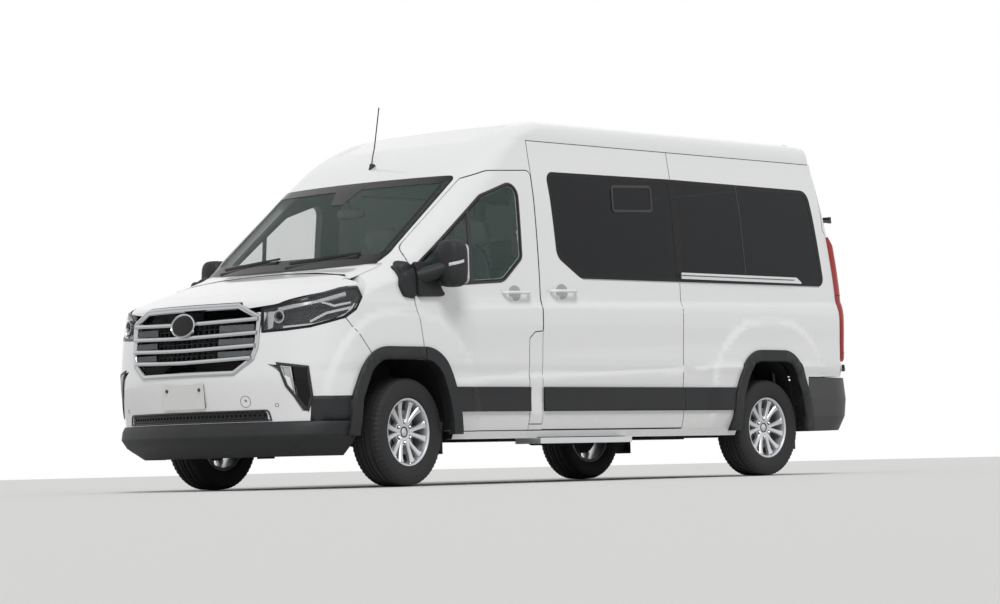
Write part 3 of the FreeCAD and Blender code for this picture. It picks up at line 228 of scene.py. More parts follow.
def side_relief(x, y, z):
    """How far the pressed panels of the sides stand out from the plain form: a crease along the belt line,
    a ledge above the rubbing strip and a flare round each wheel arch."""
    side = smooth_step(0.80, 0.90, np.abs(y))
    relief = np.zeros_like(x)
    belt = np.interp(x, [-0.3, 0.49, 1.48, 2.75, 4.5], [1.16, 1.181, 1.215, 1.246, 1.280])
    low = np.interp(x, [0.5, 0.77, 1.31, 2.73, 3.16, 4.36], [0.70, 0.711, 0.730, 0.776, 0.807, 0.830])
    fade = smooth_step(0.30, 0.60, x)
    relief += fade * shelf(z - belt, 0.012, 0.045, 0.30) + fade * shelf(z - low, 0.008, 0.030, 0.12)
    for centre, half, top, reach in ((-0.045, 0.500, 0.905, 0.20), (3.745, 0.505, 0.915, 0.20)):
        out = arch_span(x, z, centre, half, top, 2.6)
        relief += 0.017 * (1 - smooth_step(reach - 0.05, reach, out)) * smooth_step(0.30, 0.50, z)
    return relief * side


def skin(p, above, relief=True):
    """How far points p (n by 3, frame metres) lie outside the finished skin."""
    x, y, z = p[:, 0] - FRONT_AXLE, p[:, 1], p[:, 2]
    plan = plan_distance(x, y, smooth_rows(z))
    top, side = crown_distances(y, z)
    roof = soft_max(soft_max(top, side, 0.030), plan, 0.060)
    out = np.where(above, roof, plan)
    return out - side_relief(x, y, z) if relief else out


def plain_skin(p, above):
    """How far points lie outside the model's own skin."""
    x, y, z = p[:, 0] - FRONT_AXLE, p[:, 1], p[:, 2]
    plan = plan_distance(x, y, straight_rows(z))
    top, side = crown_distances(y, z)
    return np.where(above, np.maximum(plan, np.maximum(top, side)), plan)


def skin_slope(p, above, here=None, step=0.0004):
    """Gradient of the finished skin's distance by differences."""
    here = skin(p, above) if here is None else here
    slope = np.empty_like(p)
    for k in range(3):
        move = np.zeros(3)
        move[k] = step
        slope[:, k] = (skin(p + move, above) - here) / step
    return slope


def settled(p, above, snap=0.003, rounds=3):
    """Points moved square to the finished skin until each lies as deep under it as under the plain one."""
    depth = plain_skin(p, above)
    depth = np.where(np.abs(depth) < snap, 0.0, depth)
    weight = smooth_step(-0.40, -0.25, depth) * (1 - smooth_step(0.10, 0.20, depth))
    moved = p.copy()
    for _ in range(rounds):
        here = skin(moved, above)
        slope = skin_slope(moved, above, here)
        size = np.maximum((slope ** 2).sum(1), 0.02)
        moved -= slope * ((here - depth) * weight / size)[:, None]
    return moved, depth


# Ways to look at the skin: where u and v run and which way is out. x counts from the front axle, and the
# views are of the vehicle's left; the right side's pieces are mirrored.
DIAGONAL = math.sqrt(0.5)
VIEWS = {
    "side": ((1, 0, 0), (0, 0, 1), (0, -1, 0)),
    "nose": ((0, 1, 0), (0, 0, 1), (-1, 0, 0)),
    "tail": ((0, 1, 0), (0, 0, 1), (1, 0, 0)),
    "corner": ((DIAGONAL, -DIAGONAL, 0), (0, 0, 1), (-DIAGONAL, -DIAGONAL, 0)),
    "rear_corner": ((DIAGONAL, DIAGONAL, 0), (0, 0, 1), (DIAGONAL, -DIAGONAL, 0)),
    "top": ((1, 0, 0), (0, 1, 0), (0, 0, 1)),
}
START = {"side": 1.0, "nose": 0.9, "tail": 4.6, "corner": 1.2, "rear_corner": 3.9, "top": 2.5}


def landed(u, v, view, lift=0.0):
    """Points on the finished skin as seen at (u, v) in a view, lifted along its normal, and the normals."""
    across, up, out = (np.array(a, float) for a in VIEWS[view])
    p = u[:, None] * across + v[:, None] * up + out * START[view]
    p[:, 0] += FRONT_AXLE
    above = p[:, 2] > GUTTER_Z + 1e-4
    if view == "top":
        above[:] = True
    for _ in range(12):
        miss = skin(p, above)
        rate = (skin(p + out * 0.0005, above) - miss) / 0.0005
        p -= out * np.clip(miss / np.clip(rate, 0.25, 2.0), -0.3, 0.3)[:, None]
    normal = skin_slope(p, above)
    normal /= np.maximum(np.linalg.norm(normal, axis=1), 1e-9)[:, None]
    return p + normal * np.reshape(lift, (-1, 1)), normal


# Meshes as arrays
def sliced(triangles, axis, places):
    """Triangles (n, 3, 3) cut along planes across one axis."""
    for place in places:
        d = triangles[:, :, axis] - place
        s = np.where(np.abs(d) < 2e-6, 0, np.sign(d)).astype(int)
        crossing = (s.min(1) < 0) & (s.max(1) > 0)
        if not crossing.any():
            continue
        rest = triangles[~crossing]
        t, d, s = triangles[crossing], d[crossing], s[crossing]
        through = (s == 0).any(1)
        total = s.sum(1)
        first = np.where(through, (s == 0).argmax(1), (s == -total[:, None]).argmax(1))
        n = np.arange(len(t))
        order = (first[:, None] + np.arange(3)) % 3
        a, b, c = (t[n, order[:, k]] for k in range(3))
        da, db, dc = (d[n, order[:, k]][:, None] for k in range(3))
        on_bc = b + (c - b) * db / np.where(through[:, None], db - dc, 1)
        on_ab = a + (b - a) * da / np.where(through[:, None], 1, da - db)
        on_ac = a + (c - a) * da / np.where(through[:, None], 1, da - dc)
        w = through
        parts = [rest, np.stack([a[w], b[w], on_bc[w]], 1), np.stack([a[w], on_bc[w], c[w]], 1)]
        w = ~through
        parts += [np.stack([a[w], on_ab[w], on_ac[w]], 1), np.stack([on_ab[w], b[w], c[w]], 1),
                  np.stack([on_ab[w], c[w], on_ac[w]], 1)]
        triangles = np.concatenate(parts)
    return triangles


def triangles_of(obj):
    """A node's triangles as an array (n, 3, 3)."""
    mesh = obj.data
    mesh.calc_loop_triangles()
    spots = np.empty(len(mesh.vertices) * 3)
    mesh.vertices.foreach_get("co", spots)
    corners = np.empty(len(mesh.loop_triangles) * 3, dtype=np.int64)
    mesh.loop_triangles.foreach_get("vertices", corners)
    return spots.reshape(-1, 3)[corners].reshape(-1, 3, 3)


def welded(triangles, digits=5):
    """Shared vertices and triangle corners of a triangle array, with flat triangles left out."""
    keys = np.round(triangles.reshape(-1, 3), digits)
    spots, corners = np.unique(keys, axis=0, return_inverse=True)
    corners = corners.reshape(-1, 3)
    a, b, c = corners.T
    good = (a != b) & (b != c) & (a != c)
    return spots, corners[good]


def mesh_object(name, spots, faces, materials=(), smooth=True, sharp=35.0):
    """New object at the origin from vertices and faces, shaded smooth but for edges over an angle."""
    spots = np.asarray(spots, dtype=np.float32)
    faces = np.asarray(faces, dtype=np.int32)
    mesh = bpy.data.meshes.new(name)
    mesh.vertices.add(len(spots))
    mesh.vertices.foreach_set("co", spots.ravel())
    mesh.loops.add(faces.size)
    mesh.loops.foreach_set("vertex_index", faces.ravel())
    mesh.polygons.add(len(faces))
    mesh.polygons.foreach_set("loop_start", np.arange(0, faces.size, faces.shape[1], dtype=np.int32))
    mesh.update(calc_edges=True)
    mesh.validate()
    obj = bpy.data.objects.new(name, mesh)
    scene.collection.objects.link(obj)
    for material in materials:
        mesh.materials.append(material)
    if smooth:
        mesh.shade_smooth()
        if sharp:
            mesh.set_sharp_from_angle(angle=math.radians(sharp))
    return obj


def grid_faces(rows, columns, wrap_rows=False, wrap_columns=False):
    """Triangles over a grid of vertices, closed round either way where asked."""
    i = np.arange(rows if wrap_rows else rows - 1)
    j = np.arange(columns if wrap_columns else columns - 1)
    i, j = (a.ravel() for a in np.meshgrid(i, j, indexing="ij"))
    a = i * columns + j
    b = i * columns + (j + 1) % columns
    c = (i + 1) % rows * columns + (j + 1) % columns
    d = (i + 1) % rows * columns + j
    return np.concatenate([np.stack([a, b, c], 1), np.stack([a, c, d], 1)])


def fan(ring, reverse=False):
    """Triangles that close a ring of vertex numbers."""
    ring = np.asarray(ring)[::-1] if reverse else np.asarray(ring)
    return np.stack([np.full(len(ring) - 2, ring[0]), ring[1:-1], ring[2:]], 1)


def joined(*parts):
    """Several (vertices, triangles) pairs as one."""
    spots, faces, start = [], [], 0
    for v, f in parts:
        spots.append(v)
        faces.append(np.asarray(f) + start)
        start += len(v)
    return np.concatenate(spots), np.concatenate(faces)


def mirrored(part):
    """The same mesh on the other side of the vehicle, still facing outward."""
    spots, faces = part
    return spots * (1, -1, 1), faces[:, ::-1]


def both(part):
    """A mesh and its mirror image."""
    return joined(part, mirrored(part))


def same(part):
    """A mesh left as it is."""
    return part


SIDES = (("left", same), ("right", mirrored))
CORNERS = ("front_left", "front_right", "rear_left", "rear_right")


def rounded(corners, step=0.012):
    """Closed outline of (u, v) or (u, v, radius) corners as points, its round stretches as arcs."""
    count = len(corners)
    points = []
    for i, corner in enumerate(corners):
        here = np.array(corner[:2], float)
        radius = corner[2] if len(corner) > 2 else 0.0
        if not radius:
            points.append(here)
            continue
        before = np.array(corners[i - 1][:2], float) - here
        after = np.array(corners[(i + 1) % count][:2], float) - here
        before /= np.linalg.norm(before)
        after /= np.linalg.norm(after)
        half = math.acos(max(-1.0, min(1.0, float(before @ after)))) / 2
        middle = (before + after) / np.linalg.norm(before + after)
        centre = here + middle * radius / math.sin(half)
        first = here + before * radius / math.tan(half) - centre
        sweep = math.pi - 2 * half
        turn = math.copysign(sweep, first[0] * middle[1] * -1 + first[1] * middle[0])
        n = max(2, int(sweep * radius / step) + 1)
        for t in np.linspace(0, turn, n + 1):
            c, d = math.cos(t), math.sin(t)
            points.append(centre + (first[0] * c - first[1] * d, first[0] * d + first[1] * c))
    return np.array(points)


def evenly(path, step, closed=True):
    """A path with more points on its long runs, none further apart than a step."""
    path = np.asarray(path, float)
    ends = np.roll(path, -1, 0) if closed else path[1:]
    points = []
    for a, b in zip(path, ends):
        n = max(1, int(math.ceil(np.linalg.norm(b - a) / step)))
        points += [a + (b - a) * k / n for k in range(n)]
    if not closed:
        points.append(path[-1])
    return np.array(points)


def winding(path):
    """1 for a closed outline that keeps its inside on the left, -1 for the other way round."""
    area = (path[:, 0] * np.roll(path[:, 1], -1) - path[:, 1] * np.roll(path[:, 0], -1)).sum()
    return math.copysign(1.0, area)


def left_of(path, closed):
    """Unit directions to the left of a flat path, at each of its points."""
    step = np.roll(path, -1, 0) - np.roll(path, 1, 0) if closed else np.gradient(path, axis=0)
    step /= np.maximum(np.linalg.norm(step, axis=1), 1e-9)[:, None]
    return np.stack([-step[:, 1], step[:, 0]], 1)


def offset(path, distance):
    """Closed outline moved to its inside by a distance, square to itself."""
    return path + left_of(path, True) * winding(path) * distance


def lidded(spots, rows, columns):
    """Closed mesh from rings of points in order, its first and last ring filled in."""
    first = np.arange(columns)
    faces = [grid_faces(rows, columns, False, True), fan(first), fan((rows - 1) * columns + first, True)]
    return outward(spots, np.concatenate(faces))


def strip(path, profile, view, closed=True, spacing=0.03):
    """Solid strip on the skin along a path in a view. Its profile is a closed ring of (across, height).
    Across runs towards the inside of a closed path, or to the left of an open one."""
    path = evenly(path, spacing, closed)
    left = left_of(path, closed)
    if closed:
        left *= winding(path)
    profile = np.asarray(profile, float)
    places = (path[:, None, :] + left[:, None, :] * profile[None, :, :1]).reshape(-1, 2)
    heights = np.tile(profile[:, 1], len(path))
    spots, _ = landed(places[:, 0], places[:, 1], view, heights)
    if closed:
        return outward(spots, grid_faces(len(path), len(profile), True, True))
    return lidded(spots, len(path), len(profile))


def outward(spots, faces):
    """The mesh with its faces turned outward, judged by its signed volume."""
    a, b, c = (spots[faces[:, k]] for k in range(3))
    volume = (np.cross(a, b) * c).sum()
    return (spots, faces if volume > 0 else faces[:, ::-1])


def shrunk(outline, view, rings):
    """Rings on the skin inside an outline, each given as a share of the outline and a lift."""
    middle = (outline.min(0) + outline.max(0)) / 2
    layers = []
    for share, lift in rings:
        flat = middle + (outline - middle) * share
        layers.append(landed(flat[:, 0], flat[:, 1], view, lift)[0])
    return np.concatenate(layers)


PATCH_SHARES = (1.0, 0.86, 0.68, 0.50, 0.32, 0.16, 0.02)


def patch(outline, view, lift=0.0, depth=0.004, spacing=0.03):
    """Thin plate that follows the skin inside a closed outline, made of shrinking rings before and behind."""
    outline = evenly(outline, spacing)
    front = [(share, lift) for share in PATCH_SHARES]
    rings = front + [(share, lift - depth) for share in PATCH_SHARES[::-1]]
    return outward(shrunk(outline, view, rings), grid_faces(len(rings), len(outline), True, True))


def turned(profile, centre, axis, segments=64, closed=True):
    """Body of revolution: profile of (radius, along) points about an axis line through centre."""
    profile = np.asarray(profile, float)
    axis = np.array(axis, float) / np.linalg.norm(axis)
    side = np.cross(axis, (0, 0, 1) if abs(axis[2]) < 0.9 else (1, 0, 0))
    side /= np.linalg.norm(side)
    other = np.cross(axis, side)
    a = np.linspace(0, 2 * math.pi, segments, endpoint=False)
    ring = np.cos(a)[:, None] * side + np.sin(a)[:, None] * other
    spots = ring[:, None, :] * profile[None, :, :1] + axis * profile[None, :, 1:2]
    spots = spots.reshape(-1, 3) + np.array(centre)
    return outward(spots, grid_faces(segments, len(profile), True, closed))


def swept(points, radius, sides=10, closed=False, squash=1.0):
    """Tube along 3-D points, its section carried along without twist; radius may vary along it."""
    points = np.asarray(points, float)
    step = np.roll(points, -1, 0) - np.roll(points, 1, 0) if closed else np.gradient(points, axis=0)
    step /= np.linalg.norm(step, axis=1)[:, None]
    normal = np.cross(step[0], (0, 0, 1) if abs(step[0][2]) < 0.9 else (1, 0, 0))
    normals = []
    for t in step:
        normal = normal - t * (normal @ t)
        normal = normal / np.linalg.norm(normal)
        normals.append(normal)
    normals = np.array(normals)
    binormals = np.cross(step, normals)
    a = np.linspace(0, 2 * math.pi, sides, endpoint=False)[None, :, None]
    radius = np.broadcast_to(radius, len(points))[:, None, None]
    ring = normals[:, None, :] * np.cos(a) + binormals[:, None, :] * np.sin(a) * squash
    spots = (points[:, None, :] + ring * radius).reshape(-1, 3)
    if closed:
        return outward(spots, grid_faces(len(points), sides, True, True))
    return lidded(spots, len(points), sides)


def pebble(centre, half, power=4.0, rows=18, columns=28, shape=None):
    """Rounded block: |x/a|^p + |y/b|^p + |z/c|^p = 1, as a grid of two angles; shape may bend its points."""
    v = np.linspace(-math.pi / 2, math.pi / 2, rows)[1:-1]
    u = np.linspace(0, 2 * math.pi, columns, endpoint=False)
    v, u = np.meshgrid(v, u, indexing="ij")
    ray = np.stack([np.cos(v) * np.cos(u), np.cos(v) * np.sin(u), np.sin(v)], -1).reshape(-1, 3)
    ray = np.concatenate([ray, [[0, 0, -1], [0, 0, 1]]])
    size = (np.abs(ray) ** power).sum(1) ** (1 / power)
    spots = ray / size[:, None]
    if shape:
        spots = shape(spots)
    spots = spots * np.array(half) + np.array(centre)
    faces = grid_faces(rows - 2, columns, False, True)
    first = np.arange(columns)
    last = (rows - 3) * columns + first
    n = (rows - 2) * columns
    ends = [np.stack([np.roll(first, -1), first, np.full(columns, n)], 1),
            np.stack([last, np.roll(last, -1), np.full(columns, n + 1)], 1)]
    return outward(spots, np.concatenate([faces] + ends))


def add(name, part, material, body="body", sharp=35.0, instead_of=None):
    """A new piece from a mesh, riding on a body; it may take a node's place."""
    obj = mesh_object(name, part[0], part[1], [material], sharp=sharp)
    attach(obj, body)
    if instead_of:
        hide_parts(instead_of)
    return obj


def cut_places(low, high, step):
    """Evenly spaced planes on a fixed raster between two places."""
    return np.arange(math.ceil(low / step) * step, high, step)


# Plain forms that finished pieces take the place of: the doors' handles and the mirrors above the arch trim
HANDLE_SKIN_Y, HANDLE_LOW, HANDLE_HIGH = 1.018, 1.235, 1.315
MIRROR_LOW = 1.150


def kept(name, triangles):
    """The triangles of a node that its dressed copy keeps."""
    if name.startswith("door_trim"):
        return triangles[triangles[:, :, 2].mean(1) < MIRROR_LOW]
    if name.startswith("front_door") or name == "sliding_door":
        middle = triangles.mean(1)
        proud = np.abs(triangles[:, :, 1]).max(1) > HANDLE_SKIN_Y
        return triangles[~(proud & (middle[:, 2] > HANDLE_LOW) & (middle[:, 2] < HANDLE_HIGH))]
    return triangles


def dressed(name, body, material, steps):
    """A panel's finished copy: its node's triangles cut on a raster and moved to the smooth skin, with
    the skin's own direction as normal where a face lies on it."""
    node = nodes[name]
    triangles = kept(name, triangles_of(node))
    low, high = triangles.reshape(-1, 3).min(0), triangles.reshape(-1, 3).max(0)
    for axis in range(3):
        if steps[axis]:
            triangles = sliced(triangles, axis, cut_places(low[axis] + 1e-4, high[axis] - 1e-4, steps[axis]))
    spots, faces = welded(triangles)
    above = spots[:, 2] > GUTTER_Z - 0.0002
    moved, depth = settled(spots, above)
    moved = np.clip(moved, cad_box[0], cad_box[1])
    obj = mesh_object("skin_" + name, moved, faces, [material, SATIN_BLACK], sharp=None)
    if material == WHITE and len(obj.data.polygons) == len(faces):
        obj.data.polygons.foreach_set("material_index",
                                      dark_faces(name, moved, faces, depth).astype(np.int32))
    skin_normals(obj, moved, faces, above, depth)
    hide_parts(name)
    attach(obj, body)
    return obj


def dark_faces(name, spots, faces, depth):
    """Faces of a white panel that are black: those that look into a wheel arch, the tail's hinges, and
    the inner side of the front doors' window frames."""
    corners = spots[faces]
    flat = np.cross(corners[:, 1] - corners[:, 0], corners[:, 2] - corners[:, 0])
    flat /= np.maximum(np.linalg.norm(flat, axis=1), 1e-12)[:, None]
    middle = corners.mean(1)
    dark = np.zeros(len(faces), bool)
    for wheel_x in (FRONT_AXLE, REAR_AXLE):
        to_wheel = np.array((wheel_x, 0.0, TYRE_RADIUS)) - middle
        to_wheel[:, 1] = 0.0
        reach = np.linalg.norm(to_wheel, axis=1)
        facing = (flat * to_wheel).sum(1) / np.maximum(reach, 1e-9)
        inside = (np.abs(middle[:, 1]) > 0.5) & (depth[faces].mean(1) < -0.002)
        dark |= (reach < 0.66) & (facing > 0.55) & inside
    if name.startswith("rear"):
        dark |= depth[faces].max(1) > 0.006
    if name.startswith("front_door"):
        dark |= (middle[:, 2] > 1.33) & (depth[faces].mean(1) < -0.012)
    return dark


def skin_normals(obj, spots, faces, above, depth):
    """Smooth normals on faces that lie on the skin, flat ones elsewhere."""
    mesh = obj.data
    slope = skin_slope(spots, above)
    slope /= np.maximum(np.linalg.norm(slope, axis=1), 1e-9)[:, None]
    corners = spots[faces]
    flat = np.cross(corners[:, 1] - corners[:, 0], corners[:, 2] - corners[:, 0])
    size = np.linalg.norm(flat, axis=1)
    flat /= np.maximum(size, 1e-12)[:, None]
    on_skin = (np.abs(depth[faces]) < 0.0005).all(1) & ((slope[faces].mean(1) * flat).sum(1) > 0.5)
    loops = np.where(on_skin[:, None, None], slope[faces], flat[:, None, :])
    if len(mesh.polygons) == len(faces):
        mesh.normals_split_custom_set(loops.reshape(-1, 3).tolist())


# Shared effects
def group(name, inputs, outputs):
    """Empty shader node group with named sockets; returns the group, its input node and its output node."""
    tree = bpy.data.node_groups.new(name, "ShaderNodeTree")
    for label, kind, value in inputs:
        socket = tree.interface.new_socket(label, in_out="INPUT", socket_type=kind)
        if value is not None:
            socket.default_value = value
    for label, kind in outputs:
        tree.interface.new_socket(label, in_out="OUTPUT", socket_type=kind)
    return tree, tree.nodes.new("NodeGroupInput"), tree.nodes.new("NodeGroupOutput")


def orange_peel_group():
    """Faint waviness of sprayed paint: fine noise on Object coordinates as a bump."""
    inputs = [("Scale", "NodeSocketFloat", 180.0), ("Strength", "NodeSocketFloat", 0.02)]
    tree, given, out = group("orange_peel", inputs, [("Normal", "NodeSocketVector")])
    n = tree.nodes
    place = n.new("ShaderNodeTexCoord")
    noise = n.new("ShaderNodeTexNoise")
    noise.inputs["Detail"].default_value = 2.0
    bump = n.new("ShaderNodeBump")
    bump.inputs["Distance"].default_value = 0.001
    tree.links.new(place.outputs["Object"], noise.inputs["Vector"])
    tree.links.new(given.outputs["Scale"], noise.inputs["Scale"])
    tree.links.new(noise.outputs["Fac"], bump.inputs["Height"])
    tree.links.new(given.outputs["Strength"], bump.inputs["Strength"])
    tree.links.new(bump.outputs["Normal"], out.inputs["Normal"])
    return tree


def grain_group():
    """Moulded plastic grain: rounded pebbles on Object coordinates as a bump, with a little colour and
    roughness variation."""
    inputs = [("Colour", "NodeSocketColor", (0.05, 0.05, 0.05, 1)), ("Scale", "NodeSocketFloat", 900.0),
              ("Depth", "NodeSocketFloat", 0.25), ("Roughness", "NodeSocketFloat", 0.6)]
    outputs = [("Colour", "NodeSocketColor"), ("Roughness", "NodeSocketFloat"),
               ("Normal", "NodeSocketVector")]
    tree, given, out = group("moulded_grain", inputs, outputs)
    n = tree.nodes
    place = n.new("ShaderNodeTexCoord")
    cells = n.new("ShaderNodeTexVoronoi")
    cells.feature = "SMOOTH_F1"
    bump = n.new("ShaderNodeBump")
    bump.inputs["Distance"].default_value = 0.0006
    cloud = n.new("ShaderNodeTexNoise")
    cloud.inputs["Scale"].default_value = 7.0
    cloud.inputs["Detail"].default_value = 5.0
    shade = n.new("ShaderNodeMix")
    shade.data_type = "RGBA"
    shade.blend_type = "MULTIPLY"
    shade.inputs["Factor"].default_value = 0.35
    rough = n.new("ShaderNodeMath")
    rough.operation = "MULTIPLY_ADD"
    rough.inputs[1].default_value = 0.12
    tree.links.new(place.outputs["Object"], cells.inputs["Vector"])
    tree.links.new(place.outputs["Object"], cloud.inputs["Vector"])
    tree.links.new(given.outputs["Scale"], cells.inputs["Scale"])
    tree.links.new(cells.outputs["Distance"], bump.inputs["Height"])
    tree.links.new(given.outputs["Depth"], bump.inputs["Strength"])
    tree.links.new(given.outputs["Colour"], shade.inputs["A"])
    tree.links.new(cloud.outputs["Fac"], shade.inputs["B"])
    tree.links.new(cloud.outputs["Fac"], rough.inputs[0])
    tree.links.new(given.outputs["Roughness"], rough.inputs[2])
    tree.links.new(shade.outputs["Result"], out.inputs["Colour"])
    tree.links.new(rough.outputs["Value"], out.inputs["Roughness"])
    tree.links.new(bump.outputs["Normal"], out.inputs["Normal"])
    return tree


def road_dust_group():
    """Thin dry dust that gathers low on the body: a mask of height and broken noise, over a colour."""
    inputs = [("Colour", "NodeSocketColor", (0.8, 0.8, 0.8, 1)), ("Amount", "NodeSocketFloat", 0.15),
              ("Top", "NodeSocketFloat", 0.75), ("Roughness", "NodeSocketFloat", 0.2)]
    outputs = [("Colour", "NodeSocketColor"), ("Roughness", "NodeSocketFloat")]
    tree, given, out = group("road_dust", inputs, outputs)
    n = tree.nodes
    place = n.new("ShaderNodeTexCoord")
    split = n.new("ShaderNodeSeparateXYZ")
    height = n.new("ShaderNodeMapRange")
    height.interpolation_type = "SMOOTHSTEP"
    height.inputs["From Min"].default_value = 0.15
    height.inputs["To Min"].default_value = 1.0
    height.inputs["To Max"].default_value = 0.0
    noise = n.new("ShaderNodeTexNoise")
    noise.inputs["Scale"].default_value = 5.0
    noise.inputs["Detail"].default_value = 8.0
    noise.inputs["Roughness"].default_value = 0.65
    broken = n.new("ShaderNodeMath")
    broken.operation = "MULTIPLY"
    scaled = n.new("ShaderNodeMath")
    scaled.operation = "MULTIPLY"
    colour = n.new("ShaderNodeMix")
    colour.data_type = "RGBA"
    colour.inputs["B"].default_value = (0.34, 0.31, 0.27, 1)
    rough = n.new("ShaderNodeMath")
    rough.operation = "ADD"
    rough.use_clamp = True
    link = tree.links.new
    link(place.outputs["Object"], split.inputs[0])
    link(place.outputs["Object"], noise.inputs["Vector"])
    link(split.outputs["Z"], height.inputs["Value"])
    link(given.outputs["Top"], height.inputs["From Max"])
    link(height.outputs["Result"], broken.inputs[0])
    link(noise.outputs["Fac"], broken.inputs[1])
    link(broken.outputs["Value"], scaled.inputs[0])
    link(given.outputs["Amount"], scaled.inputs[1])
    link(scaled.outputs["Value"], colour.inputs["Factor"])
    link(given.outputs["Colour"], colour.inputs["A"])
    link(given.outputs["Roughness"], rough.inputs[0])
    link(scaled.outputs["Value"], rough.inputs[1])
    link(colour.outputs["Result"], out.inputs["Colour"])
    link(rough.outputs["Value"], out.inputs["Roughness"])
    return tree


ORANGE_PEEL = orange_peel_group()
GRAIN = grain_group()
ROAD_DUST = road_dust_group()


def placed(material, tree, **values):
    """A shared effect put into a material with its own values."""
    node = material.node_tree.nodes.new("ShaderNodeGroup")
    node.node_tree = tree
    for label, value in values.items():
        node.inputs[label].default_value = value
    return node


def principled(name, colour, roughness, metallic=0.0, **sockets):
    """Material with one Principled shader and its constant sockets."""
    material = bpy.data.materials.new(name)
    material.use_nodes = True
    shader = material.node_tree.nodes["Principled BSDF"]
    shader.inputs["Base Color"].default_value = tuple(colour) + (1,)
    shader.inputs["Roughness"].default_value = roughness
    shader.inputs["Metallic"].default_value = metallic
    for label, value in sockets.items():
        shader.inputs[label.replace("_", " ")].default_value = value
    return material, shader


def gloss_paint(name, colour, dust=0.25):
    """Sprayed body colour under lacquer, with faint orange peel and road dust at its foot."""
    material, shader = principled(name, colour, 0.32, Coat_Weight=1.0, Coat_Roughness=0.03, Coat_IOR=1.5)
    link = material.node_tree.links.new
    dusty = placed(material, ROAD_DUST, Colour=tuple(colour) + (1,), Amount=dust, Top=0.8, Roughness=0.30)
    peel = placed(material, ORANGE_PEEL, Scale=260.0, Strength=0.025)
    link(dusty.outputs["Colour"], shader.inputs["Base Color"])
    link(dusty.outputs["Roughness"], shader.inputs["Roughness"])
    link(peel.outputs["Normal"], shader.inputs["Normal"])
    return material


def moulded(name, colour, scale=900.0, depth=0.25, roughness=0.5, **sockets):
    """Grained moulded plastic."""
    material, shader = principled(name, colour, roughness, **sockets)
    link = material.node_tree.links.new
    grain = placed(material, GRAIN, Colour=tuple(colour) + (1,), Scale=scale, Depth=depth,
                   Roughness=roughness - 0.05)
    link(grain.outputs["Colour"], shader.inputs["Base Color"])
    link(grain.outputs["Roughness"], shader.inputs["Roughness"])
    link(grain.outputs["Normal"], shader.inputs["Normal"])
    return material


def pane(name, colour, through, roughness=0.0):
    """Thin window glass: mostly clear, tinted by colour, with a plain reflection."""
    material = principled(name, colour, roughness, IOR=1.34, Alpha=through)[0]
    material.surface_render_method = "DITHERED"
    return material


WHITE = gloss_paint("white_lacquer", (0.80, 0.805, 0.81))
# The white lacquer at under half its brightness: painted shade on the discs behind the door handles
PAINTED_SHADE_WHITE = gloss_paint("painted_shade_lacquer", (0.36, 0.365, 0.37))
BLACK_TRIM = moulded("black_cladding", (0.026, 0.027, 0.029), roughness=0.55, Specular_IOR_Level=0.3)
GREY_TRIM = moulded("grey_cladding", (0.050, 0.051, 0.054), roughness=0.5)
GLOSS_BLACK = principled("gloss_black", (0.008, 0.008, 0.009), 0.15, IOR=1.3)[0]
DEEP_BLACK = principled("deep_black", (0.004, 0.004, 0.004), 0.7)[0]
SATIN_BLACK = moulded("satin_black", (0.018, 0.018, 0.019), scale=1500.0, depth=0.1, roughness=0.38)
CHROME = principled("bright_chrome", (0.50, 0.51, 0.525), 0.07, 1.0)[0]
SATIN_CHROME = principled("satin_chrome", (0.40, 0.41, 0.42), 0.24, 1.0)[0]
TINTED = pane("privacy_glass", (0.004, 0.005, 0.007), 0.84)
CLEAR = pane("windscreen_glass", (0.14, 0.21, 0.19), 0.16)
LENS = pane("lamp_lens", (0.55, 0.57, 0.60), 0.05)
LENS_BRIGHT = principled("bright_lens", (0.62, 0.63, 0.64), 0.12, 0.3, Coat_Weight=0.8)[0]
RED_LENS = principled("red_lens", (0.32, 0.004, 0.004), 0.10, Coat_Weight=0.5)[0]
SILVER_PLASTIC = principled("silver_plastic", (0.40, 0.41, 0.42), 0.32, 0.25)[0]
ALLOY = principled("silver_alloy", (0.62, 0.63, 0.65), 0.28, 0.75, Coat_Weight=0.4)[0]
RUBBER = moulded("tyre_rubber", (0.014, 0.014, 0.015), scale=500.0, depth=0.15, roughness=0.72)
UNDERSIDE = moulded("under_seal", (0.028, 0.028, 0.030), scale=260.0, depth=0.5, roughness=0.75)
DISC_STEEL = principled("disc_steel", (0.32, 0.32, 0.33), 0.38, 0.9)[0]
CAST_IRON = moulded("cast_iron", (0.10, 0.095, 0.09), scale=300.0, depth=0.5, roughness=0.6, Metallic=0.6)
LIGHT_FABRIC = moulded("light_seat_cover", (0.42, 0.42, 0.41), scale=900.0, depth=0.5, roughness=0.8)
FABRIC = moulded("seat_cloth", (0.060, 0.063, 0.070), scale=700.0, depth=0.6, roughness=0.85,
                 Sheen_Weight=0.3)
DASH = moulded("dashboard_skin", (0.030, 0.030, 0.032), scale=700.0, depth=0.3, roughness=0.6)
LINING = moulded("grey_lining", (0.22, 0.22, 0.22), scale=600.0, depth=0.3, roughness=0.8)
PLATE_WHITE = principled("plate_white", (0.72, 0.72, 0.71), 0.35, Coat_Weight=0.3)[0]
ALUMINIUM = principled("brushed_aluminium", (0.68, 0.69, 0.70), 0.30, 1.0)[0]

